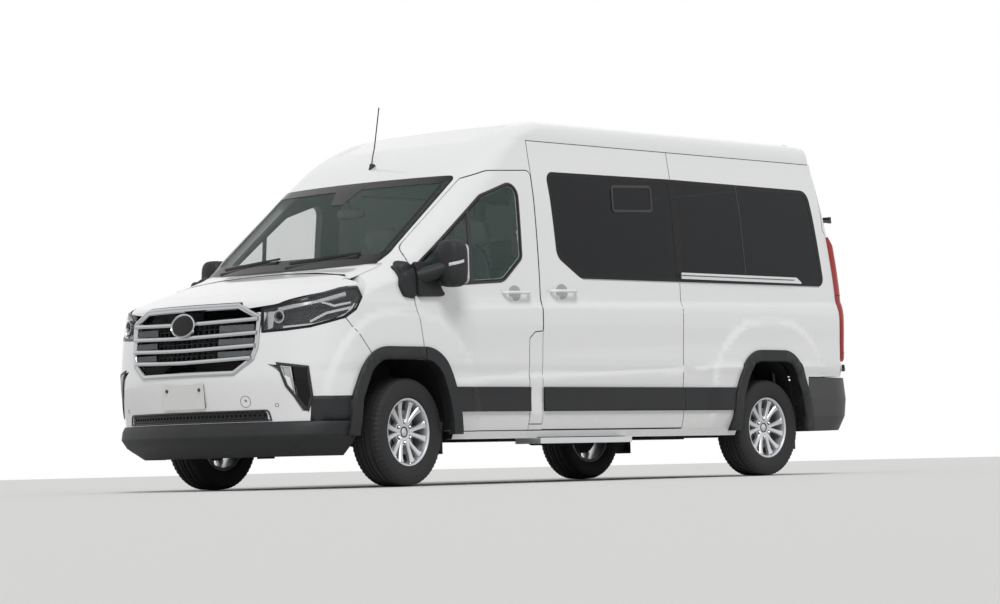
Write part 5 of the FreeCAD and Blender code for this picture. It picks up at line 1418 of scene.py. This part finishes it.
def indicator_band():
    """Clear band let into the head, from its inner front round to the outer side."""
    angle = np.linspace(math.radians(205), math.radians(278), 24)
    ray = np.stack([np.cos(angle), np.sin(angle), np.zeros_like(angle)], 1)
    ray /= ((np.abs(ray) ** 4.0).sum(1) ** 0.25)[:, None]
    rows = []
    for lift, high in ((0.98, -0.012), (1.006, -0.009), (1.010, 0.0), (1.006, 0.009), (0.98, 0.012)):
        row = head_form(ray * lift) * np.array(MIRROR_HALF)
        row[:, 2] = high + 0.012 * np.linspace(-1, 1, len(row))
        rows.append(row)
    spots = np.stack(rows, 1).reshape(-1, 3) + np.array(MIRROR_HEAD)
    return lidded(spots, len(angle), len(rows))


def mirror_glass():
    """Silvered glass in the head's rear face, with rounded corners."""
    outline = rounded([(-0.078, -0.130, 0.03), (0.078, -0.130, 0.03), (0.078, 0.130, 0.04),
                       (-0.078, 0.130, 0.04)])
    outline = evenly(outline, 0.03)
    x, y, z = MIRROR_HEAD
    face = np.stack([np.full(len(outline), x + 0.0745), y + outline[:, 0], z + outline[:, 1]], 1)
    back = face - (0.02, 0, 0)
    return lidded(np.concatenate([face, back]), 2, len(outline))


arm_path = [(at(0.120), -0.990, 1.352), (at(0.160), -1.035, 1.366), (at(0.205), -1.075, 1.385),
            (at(0.255), -1.115, 1.405)]
mirror_parts = {
    "mirror_head": (pebble(MIRROR_HEAD, MIRROR_HALF, 4.0, 30, 48, head_form), BLACK_TRIM),
    "mirror_arm": (swept(arm_path, [0.066, 0.060, 0.056, 0.058], 20, squash=0.85), BLACK_TRIM),
    "mirror_foot": (dish(MIRROR_FOOT, "side", [(1.0, -0.010), (1.0, 0.018), (0.985, 0.030), (0.93, 0.038),
                                               (0.30, 0.040)]),
                    BLACK_TRIM),
    "mirror_indicator": (indicator_band(), LENS_BRIGHT),
    "mirror_glass": (mirror_glass(), CHROME),
}
for side_name, turn in SIDES:
    for name, (part, material) in mirror_parts.items():
        add(name + "_" + side_name, turn(part), material, "front_door_" + side_name,
            instead_of="door_trim_" + side_name)

add("wing_mirror_covers", both(dish(WING_COVER, "side", cover_rings)), BLACK_TRIM)

# Door handles: a bowed bar on two feet over a flat disc in darkened white, painted shade for a round hollow,
# with a lock below its front foot
def handle_mesh(x0, z, length):
    """Pull handle on the side: its bar stands 40 mm off the skin in the middle and comes down at its ends."""
    t = np.linspace(0, 1, 25)
    x = x0 + length * t
    lift = 0.006 + 0.034 * np.clip(np.sin(math.pi * t) * 2.2, 0, 1)
    spots, _ = landed(x, np.full_like(x, z) + 0.004 * t, "side", lift)
    size = 0.0155 * np.clip(np.minimum(t, 1 - t) * 12 + 0.35, 0, 1) ** 0.5
    return swept(spots, size, 16, squash=0.72)


def handle_painted_shade(x, z, radius=0.052):
    """Thin flat disc on the skin behind a handle, in darkened white: painted shade for a round hollow there.
    """
    a = np.linspace(0, 2 * math.pi, 48, endpoint=False)
    circle = np.stack([x + radius * 1.15 * np.cos(a), z + radius * np.sin(a)], 1)
    return patch(circle, "side", 0.0012, 0.004, 0.02)


HANDLES = (("front_door_left", 0.900, 1.264, same), ("front_door_right", 0.900, 1.264, mirrored),
           ("body", 1.372, 1.285, same))
for body, x0, z, turn in HANDLES:
    replaced = "sliding_door" if body == "body" else body
    add("handle_" + replaced, turn(handle_mesh(x0, z, 0.262)), WHITE, body)
    # The disc behind each handle is painted shade in the darkened white, not a real hollow
    hollow = turn(handle_painted_shade(x0 + 0.125, z))
    add("handle_painted_shade_" + replaced, hollow, PAINTED_SHADE_WHITE, body)
    spot, facing = landed(np.array([x0 + 0.085]), np.array([z - 0.040]), "side", 0.0)
    lock = turned([(0, 0.005), (0.012, 0.005), (0.014, 0.003), (0.014, -0.004), (0, -0.004)], spot[0],
                  facing[0], 28, closed=False)
    add("handle_lock_" + replaced, turn(lock), WHITE, body)

# Seats: one cushion, one back and one head restraint are blown up as cloth and used for every seat
PAD_FACES = 2600


def blown(name, half, seams, power=7.0, pressure=4.0, cell=0.009):
    """A sewn pad as arrays: a rounded block blown up as cloth while its seam lines hold."""
    spots, faces = pebble((0, 0, 0), half, power, 26, 44)
    obj = mesh_object(name, spots, faces, smooth=False)
    bpy.context.view_layer.objects.active = obj
    remesh = obj.modifiers.new("even", "REMESH")
    remesh.mode = "VOXEL"
    remesh.voxel_size = cell
    bpy.ops.object.select_all(action="DESELECT")
    obj.select_set(True)
    bpy.ops.object.modifier_apply(modifier="even")
    mesh = obj.data
    place = np.empty(len(mesh.vertices) * 3)
    mesh.vertices.foreach_get("co", place)
    place = place.reshape(-1, 3)
    held = seams(place, half)
    inward = np.array(half) * 0.06 * held[:, None] * np.sign(place)
    sewn = place - inward * np.array([0, 0, 1.6])
    group_held = obj.vertex_groups.new(name="seam")
    for index in np.where(held > 0.05)[0]:
        group_held.add([int(index)], float(held[index]), "REPLACE")
    mesh.vertices.foreach_set("co", sewn.ravel())
    mesh.update()
    cloth = obj.modifiers.new("cloth", "CLOTH")
    settings = cloth.settings
    settings.quality = 5
    settings.mass = 0.25
    settings.tension_stiffness = settings.compression_stiffness = settings.shear_stiffness = 30
    settings.use_pressure = True
    settings.uniform_pressure_force = pressure
    settings.vertex_group_mass = "seam"
    settings.pin_stiffness = 1.0
    settings.effector_weights.gravity = 0.0
    cloth.point_cache.frame_end = 20
    for frame_number in range(1, 21):
        scene.frame_set(frame_number)
    bpy.ops.object.modifier_apply(modifier="cloth")
    scene.frame_set(1)
    place = np.empty(len(obj.data.vertices) * 3)
    obj.data.vertices.foreach_get("co", place)
    place = place.reshape(-1, 3)
    move = place - sewn
    reach = np.maximum(np.linalg.norm(move, axis=1), 1e-9)
    place = sewn + move * (np.minimum(reach, 0.022) / reach)[:, None]
    obj.data.vertices.foreach_set("co", place.ravel())
    obj.data.update()
    thin = obj.modifiers.new("thin", "DECIMATE")
    thin.ratio = min(1.0, PAD_FACES / max(1, 2 * len(obj.data.polygons)))
    bpy.ops.object.modifier_apply(modifier="thin")
    tri = obj.modifiers.new("tri", "TRIANGULATE")
    bpy.ops.object.modifier_apply(modifier="tri")
    triangles = triangles_of(obj)
    bpy.data.objects.remove(obj)
    return welded(triangles)


def line_hold(distance, width=0.010):
    """1 on a sewn line, 0 beyond its width."""
    return np.clip(1 - np.abs(distance) / width, 0, 1)


def cushion_seams(p, half):
    """Two lines from front to back, one across, and the piping round the edge."""
    lines = np.maximum(line_hold(np.abs(p[:, 1]) - half[1] * 0.55), line_hold(p[:, 0] + half[0] * 0.45))
    return np.maximum(lines, line_hold(p[:, 2] - half[2] * 0.35, 0.006))


def back_seams(p, half):
    """Two upright lines, two across the middle and the piping."""
    lines = np.maximum(line_hold(np.abs(p[:, 1]) - half[1] * 0.55),
                       line_hold(np.abs(p[:, 0]) - half[0] * 0.25))
    return np.maximum(lines, line_hold(p[:, 2] - half[2] * 0.35, 0.006))


def rest_seams(p, half):
    """Piping round the head restraint's face."""
    return line_hold(p[:, 2] - half[2] * 0.35, 0.006)


# length, width and thickness are halved; a pad lies flat, its face up
PADS = {"cushion": blown("pad_cushion", (0.225, 0.215, 0.062), cushion_seams),
        "back": blown("pad_back", (0.330, 0.215, 0.055), back_seams),
        "rest": blown("pad_rest", (0.095, 0.130, 0.045), rest_seams, 4.0)}


def tilted(part, lean, place, wide=1.0):
    """A flat pad turned up about the Y axis by its lean and put in place."""
    spots, faces = part
    c, s = math.cos(lean), math.sin(lean)
    x = spots[:, 0] * c - spots[:, 2] * s
    z = spots[:, 0] * s + spots[:, 2] * c
    return np.stack([x, spots[:, 1] * wide, z], 1) + np.array(place), faces


SEAT_FLOOR = 0.558
SEAT_ROWS = ((1.660, 0.000, (-0.690, 0.230, 0.690)), (2.370, 0.000, (-0.690, 0.230, 0.690)),
             (3.080, 0.042, (-0.690, 0.230, 0.690)), (3.790, 0.042, (-0.690, -0.230, 0.230, 0.690)))
BACK_LEAN = math.radians(104)


def seat_pads(x, y, floor_z, wide):
    """Cushion and back of one seat that faces the nose; x is its cushion's front edge."""
    cushion = tilted(PADS["cushion"], math.radians(4), (at(x + 0.235), y, floor_z + 0.345), wide)
    lean_back = tilted(PADS["back"], BACK_LEAN, (at(x + 0.515), y, floor_z + 0.665), wide)
    return joined(cushion, lean_back)


def seat_frame(x, y, floor_z, wide):
    """Shell behind the back, base with two feet, arm rest and the two posts of the head restraint."""
    shell = tilted(pebble((0, 0, -0.050), (0.325, 0.205 * wide, 0.028), 6.0, 16, 32), BACK_LEAN,
                   (at(x + 0.525), y, floor_z + 0.665))
    base = pebble((at(x + 0.240), y, floor_z + 0.272), (0.200, 0.190 * wide, 0.030), 6.0, 12, 28)
    foot = [swept([(at(x + 0.24), y + side * 0.12, floor_z + 0.26),
                   (at(x + 0.26), y + side * 0.12, SEAT_FLOOR + 0.004)],
                  0.020, 12) for side in (-1, 1)]
    arm = swept([(at(x + 0.50), y + 0.225 * wide, floor_z + 0.56),
                 (at(x + 0.30), y + 0.228 * wide, floor_z + 0.565),
                 (at(x + 0.22), y + 0.226 * wide, floor_z + 0.555)], [0.018, 0.021, 0.012], 12)
    posts = [swept([(at(x + 0.590), y + side * 0.055, floor_z + 0.95),
                    (at(x + 0.602), y + side * 0.055, floor_z + 1.06)],
                   0.006, 8) for side in (-1, 1)]
    return joined(shell, base, *foot, arm, *posts)


def seat_set(name, seats, node):
    """Pads, head restraints and frames of several seats, each as one piece, in place of a node."""
    pads = joined(*[seat_pads(*seat) for seat in seats])
    rests = joined(*[tilted(PADS["rest"], BACK_LEAN, (at(x + 0.612), y, floor_z + 1.090), wide)
                     for x, y, floor_z, wide in seats])
    frames = joined(*[seat_frame(*seat) for seat in seats])
    for label, part, material in (("pads", pads, FABRIC), ("rests", rests, LIGHT_FABRIC),
                                  ("frames", frames, SATIN_BLACK)):
        made = add(name + "_" + label, part, material, sharp=60.0, instead_of=node)


seat_set("cab_seat", [(0.620, y, SEAT_FLOOR + 0.060, 1.12) for y in (0.430, -0.430)], "cab_seats")
seat_set("passenger_seat", [(x, y, SEAT_FLOOR + lift, 1.0) for x, lift, places in SEAT_ROWS for y in places],
         "passenger_seats")

# Steering wheel: padded ring, spokes and a rounded boss, square to the leaning column
WHEEL_PLACE = np.array((at(0.470), 0.430, 1.270))
COLUMN_TILT = math.radians(50)
wheel_axis = np.array((math.sin(COLUMN_TILT), 0, math.cos(COLUMN_TILT)))
wheel_up = np.array((math.cos(COLUMN_TILT), 0, -math.sin(COLUMN_TILT)))
angles = np.linspace(0, 2 * math.pi, 72, endpoint=False)
ring = WHEEL_PLACE + 0.190 * (np.cos(angles)[:, None] * wheel_up
                              + np.sin(angles)[:, None] * np.array((0, 1, 0)))
grip = 0.0145 + 0.0015 * np.cos(2 * angles) ** 2
wheel_spokes = [swept([WHEEL_PLACE - wheel_axis * 0.012, WHEEL_PLACE + 0.10 * d - wheel_axis * 0.008,
                       WHEEL_PLACE + 0.186 * d],
                      [0.034, 0.024, 0.016], 14, squash=0.5)
                for d in (np.array((0, 1, 0)), np.array((0, -1, 0)), wheel_up)]
boss = tilted(pebble((0, 0, 0), (0.085, 0.105, 0.030), 3.2, 18, 36), COLUMN_TILT * -1,
              WHEEL_PLACE - wheel_axis * 0.004)
add("steering_wheel_dressed", joined(swept(ring, grip, 16, closed=True), *wheel_spokes, boss), DASH,
    "steering_wheel", 50.0, "steering_wheel")

# Dashboard top: binnacle hood, vents and the tray along the screen; a mirror and a sensor cover on the glass
binnacle = pebble((at(0.235), 0.430, 1.405), (0.130, 0.200, 0.055), 3.0, 18, 36)
console = pebble((at(0.300), 0.020, 1.300), (0.070, 0.150, 0.140), 4.0, 18, 32)
ledge = pebble((at(0.120), 0.0, 1.372), (0.150, 0.800, 0.030), 5.0, 14, 48)
vents = joined(*[turned([(0.030, 0), (0.034, -0.004), (0.040, -0.002), (0.040, 0.012), (0.030, 0.012)],
                        (at(0.366), y, 1.292), (1, 0, 0.35), 32) for y in (-0.70, -0.22, 0.20, 0.72)])
add("dash_hood", joined(binnacle, console, ledge), DASH, sharp=50.0)
add("dash_vents", vents, SATIN_CHROME)
inner_mirror = pebble((at(0.500), 0.0, 1.840), (0.022, 0.125, 0.036), 4.0, 14, 32)
mirror_stem = swept([(at(0.475), 0, 1.930), (at(0.490), 0, 1.880), (at(0.500), 0, 1.850)], 0.011, 10)
cover_path = rounded([(-0.150, 2.040), (0.150, 2.040), (0.055, 1.895, 0.02), (-0.055, 1.895, 0.02)])
add("inner_mirror", joined(inner_mirror, mirror_stem), SATIN_BLACK, sharp=50.0)
add("screen_sensor_cover", patch(cover_path, "nose", 0.0009, 0.003), GLOSS_BLACK)


# Tail lamps: a proud red lens on the rear corner that tapers to a point, with two dark bars
LENS_LOW, LENS_HIGH = 0.836, 1.765
LENS_ROWS, LENS_COLUMNS = 44, 15


def lens_line(across, z):
    """Place in the rear corner view: across runs 0 to 1 from the lens's front edge back."""
    wide = np.interp(z, (LENS_LOW, 1.35, 1.70, LENS_HIGH), (0.108, 0.104, 0.055, 0.012))
    return 2.552 - 0.054 * (z - 0.834) + wide * across


def lens_place(across, z, lift):
    """Places on the lens's face, which bulges in the middle of its width."""
    ends = np.interp(z, (LENS_LOW, 0.86, 1.70, LENS_HIGH), (0.6, 1, 1, 0.4))
    bump = 0.004 + 0.028 * np.sin(math.pi * np.clip(across, 0, 1)) ** 0.7 * ends
    return landed(lens_line(across, z).ravel(), z.ravel(), "rear_corner", (bump + lift).ravel())[0]


def tail_lens():
    """Closed lens: its front sheet follows the bump and its back sheet lies in the body."""
    heights, shares = np.linspace(LENS_LOW, LENS_HIGH, LENS_ROWS), np.linspace(0, 1, LENS_COLUMNS)
    z, across = np.meshgrid(heights, shares, indexing="ij")
    shape = (LENS_ROWS, LENS_COLUMNS, 3)
    front = lens_place(across, z, 0.0).reshape(shape)
    back = landed(lens_line(across, z).ravel(), z.ravel(), "rear_corner", -0.004)[0].reshape(shape)
    spots = np.concatenate([front, back[:, ::-1]], 1)
    return lidded(spots.reshape(-1, 3), LENS_ROWS, 2 * LENS_COLUMNS)


def lens_bars():
    """Level bars across the lens."""
    across = np.linspace(0.02, 0.98, 13)
    return joined(*[swept(lens_place(across, np.full(13, z), 0.0002), 0.0030, 8) for z in (0.900, 1.330)])


add("tail_lenses", both(tail_lens()), RED_LENS)
add("tail_lens_bars", both(lens_bars()), SATIN_BLACK)

# Rear doors: glass border and seal, handle and plate place; the bumper has a crease and two reflectors
REAR_BORDER = inside_band(0.030, 0.0008, 0.003, -0.003)
for side_name, turn in SIDES:
    body = "rear_door_" + side_name
    border = joined(strip(REAR_GLASS, REAR_BORDER, "tail"), strip(REAR_GLASS, SEAL, "tail"))
    add("rear_glass_border_" + side_name, turn(border), GLOSS_BLACK, body)
meet = strip([(0.0, 0.745), (0.0, 2.160)], ribbon(0.010, -0.003, 0.010), "tail", closed=False)
add("rear_leaf_seal", meet, SATIN_BLACK, "rear_door_left")
plate_frame = rounded(mm((90, 905, 20), (620, 905, 20), (620, 1045, 20), (90, 1045, 20)))
add("rear_plate_place", strip(plate_frame, inside_band(0.008, 0.004, 0.003), "tail"), SATIN_BLACK,
    "rear_door_right")
pull = landed(np.linspace(0.085, 0.265, 15), np.full(15, 1.145), "tail",
              0.004 + 0.022 * np.clip(np.sin(np.linspace(0, math.pi, 15)) * 2, 0, 1))[0]
add("rear_handle", swept(pull, 0.011, 14, squash=0.8), SATIN_BLACK, "rear_door_right")
bumper_line = strip([(-0.86, 0.560), (0.86, 0.560)],
                    [(-0.010, 0.0), (-0.003, 0.006), (0.004, 0.005), (0.014, -0.001)], "tail", closed=False)
add("rear_bumper_crease", bumper_line, GREY_TRIM)
reflector = rounded(mm((-800, 600, 6), (-660, 600, 6), (-660, 640, 6), (-800, 640, 6)))
add("rear_reflectors", both(patch(reflector, "tail", 0.0015, 0.004)), RED_LENS)

# Side step: ribbed tread on its top face
treads = [swept([(at(x), -1.012, 0.3035), (at(x), -0.830, 0.3035)], 0.0028, 6)
          for x in np.arange(1.26, 2.13, 0.03)]
add("step_treads", joined(*treads), SATIN_BLACK)

# Bright moulding below the side windows, and a thin black strip along the sliding door's rail: painted shadow
# of its groove
lower_moulding = strip([(1.72, 1.3755), (4.38, 1.388)], ribbon(0.007, 0.0016, 0.003), "side", closed=False)
add("window_mouldings", both(lower_moulding), SATIN_CHROME)
rail_shadow = strip([(C_SEAM + 0.01, 1.4285), (4.05, 1.4285)], ribbon(0.004, 0.0345, 0.004), "side",
                    closed=False)
add("rail_groove_shadow", rail_shadow, SATIN_BLACK)

# Brake discs seen between the spokes: a bright worn ring on each hub
disc_section = [(0.095, -0.020), (0.150, -0.020), (0.152, -0.018), (0.152, -0.004), (0.095, -0.004)]
for corner in CORNERS:
    ring = turned(disc_section, (0, 0, 0), (0, 1, 0), 64)
    add("brake_disc_" + corner, on_wheel(ring, corner), DISC_STEEL, "wheel_" + corner)

# Wiper blades on the glass, along their arms
blades = [strip([(y, z), (y - 0.56, z + 0.040)], [(-0.006, 0.004), (0, 0.016), (0.006, 0.004), (0.003, 0.001),
                                                  (-0.003, 0.001)],
                "nose", closed=False) for y, z in ((-0.06, 1.478), (0.64, 1.478))]
add("wiper_blades", joined(*blades), SATIN_BLACK)


set_camera()


# Floor, background and lamp
def plain_room():
    """World that is white where the camera, a reflection or glass sees it, and a softer light elsewhere."""
    world = bpy.data.worlds.new("studio")
    scene.world = world
    world.use_nodes = True
    n = world.node_tree.nodes
    link = world.node_tree.links.new
    back = n["Background"]
    path = n.new("ShaderNodeLightPath")
    seen = n.new("ShaderNodeMath")
    seen.operation = "MAXIMUM"
    more = n.new("ShaderNodeMath")
    more.operation = "MAXIMUM"
    strength = n.new("ShaderNodeMapRange")
    strength.inputs["To Min"].default_value = 0.38
    strength.inputs["To Max"].default_value = 1.0
    link(path.outputs["Is Camera Ray"], seen.inputs[0])
    link(path.outputs["Is Glossy Ray"], seen.inputs[1])
    link(seen.outputs["Value"], more.inputs[0])
    link(path.outputs["Is Transmission Ray"], more.inputs[1])
    link(more.outputs["Value"], strength.inputs["Value"])
    link(strength.outputs["Result"], back.inputs["Strength"])
    back.inputs["Color"].default_value = (1, 1, 1, 1)


def sky_light(towards, strength, spread):
    """Broad soft lamp far away in a direction; its spread in degrees softens the shadow's edge."""
    data = bpy.data.lights.new("sky_light", "SUN")
    data.energy = strength
    data.angle = math.radians(spread)
    obj = bpy.data.objects.new("sky_light", data)
    scene.collection.objects.link(obj)
    obj.rotation_euler = Vector(towards).to_track_quat("Z", "Y").to_euler()


floor = mesh_object("studio_floor", [(-60, -60, 0), (60, -60, 0), (60, 60, 0), (-60, 60, 0)], [(0, 1, 2, 3)],
                    [principled("studio_floor", (0.78, 0.78, 0.77), 0.9)[0]], smooth=False)
plain_room()
sky_light((-0.42, -0.50, 0.76), 1.75, 22)

scene.view_settings.view_transform = "Standard"
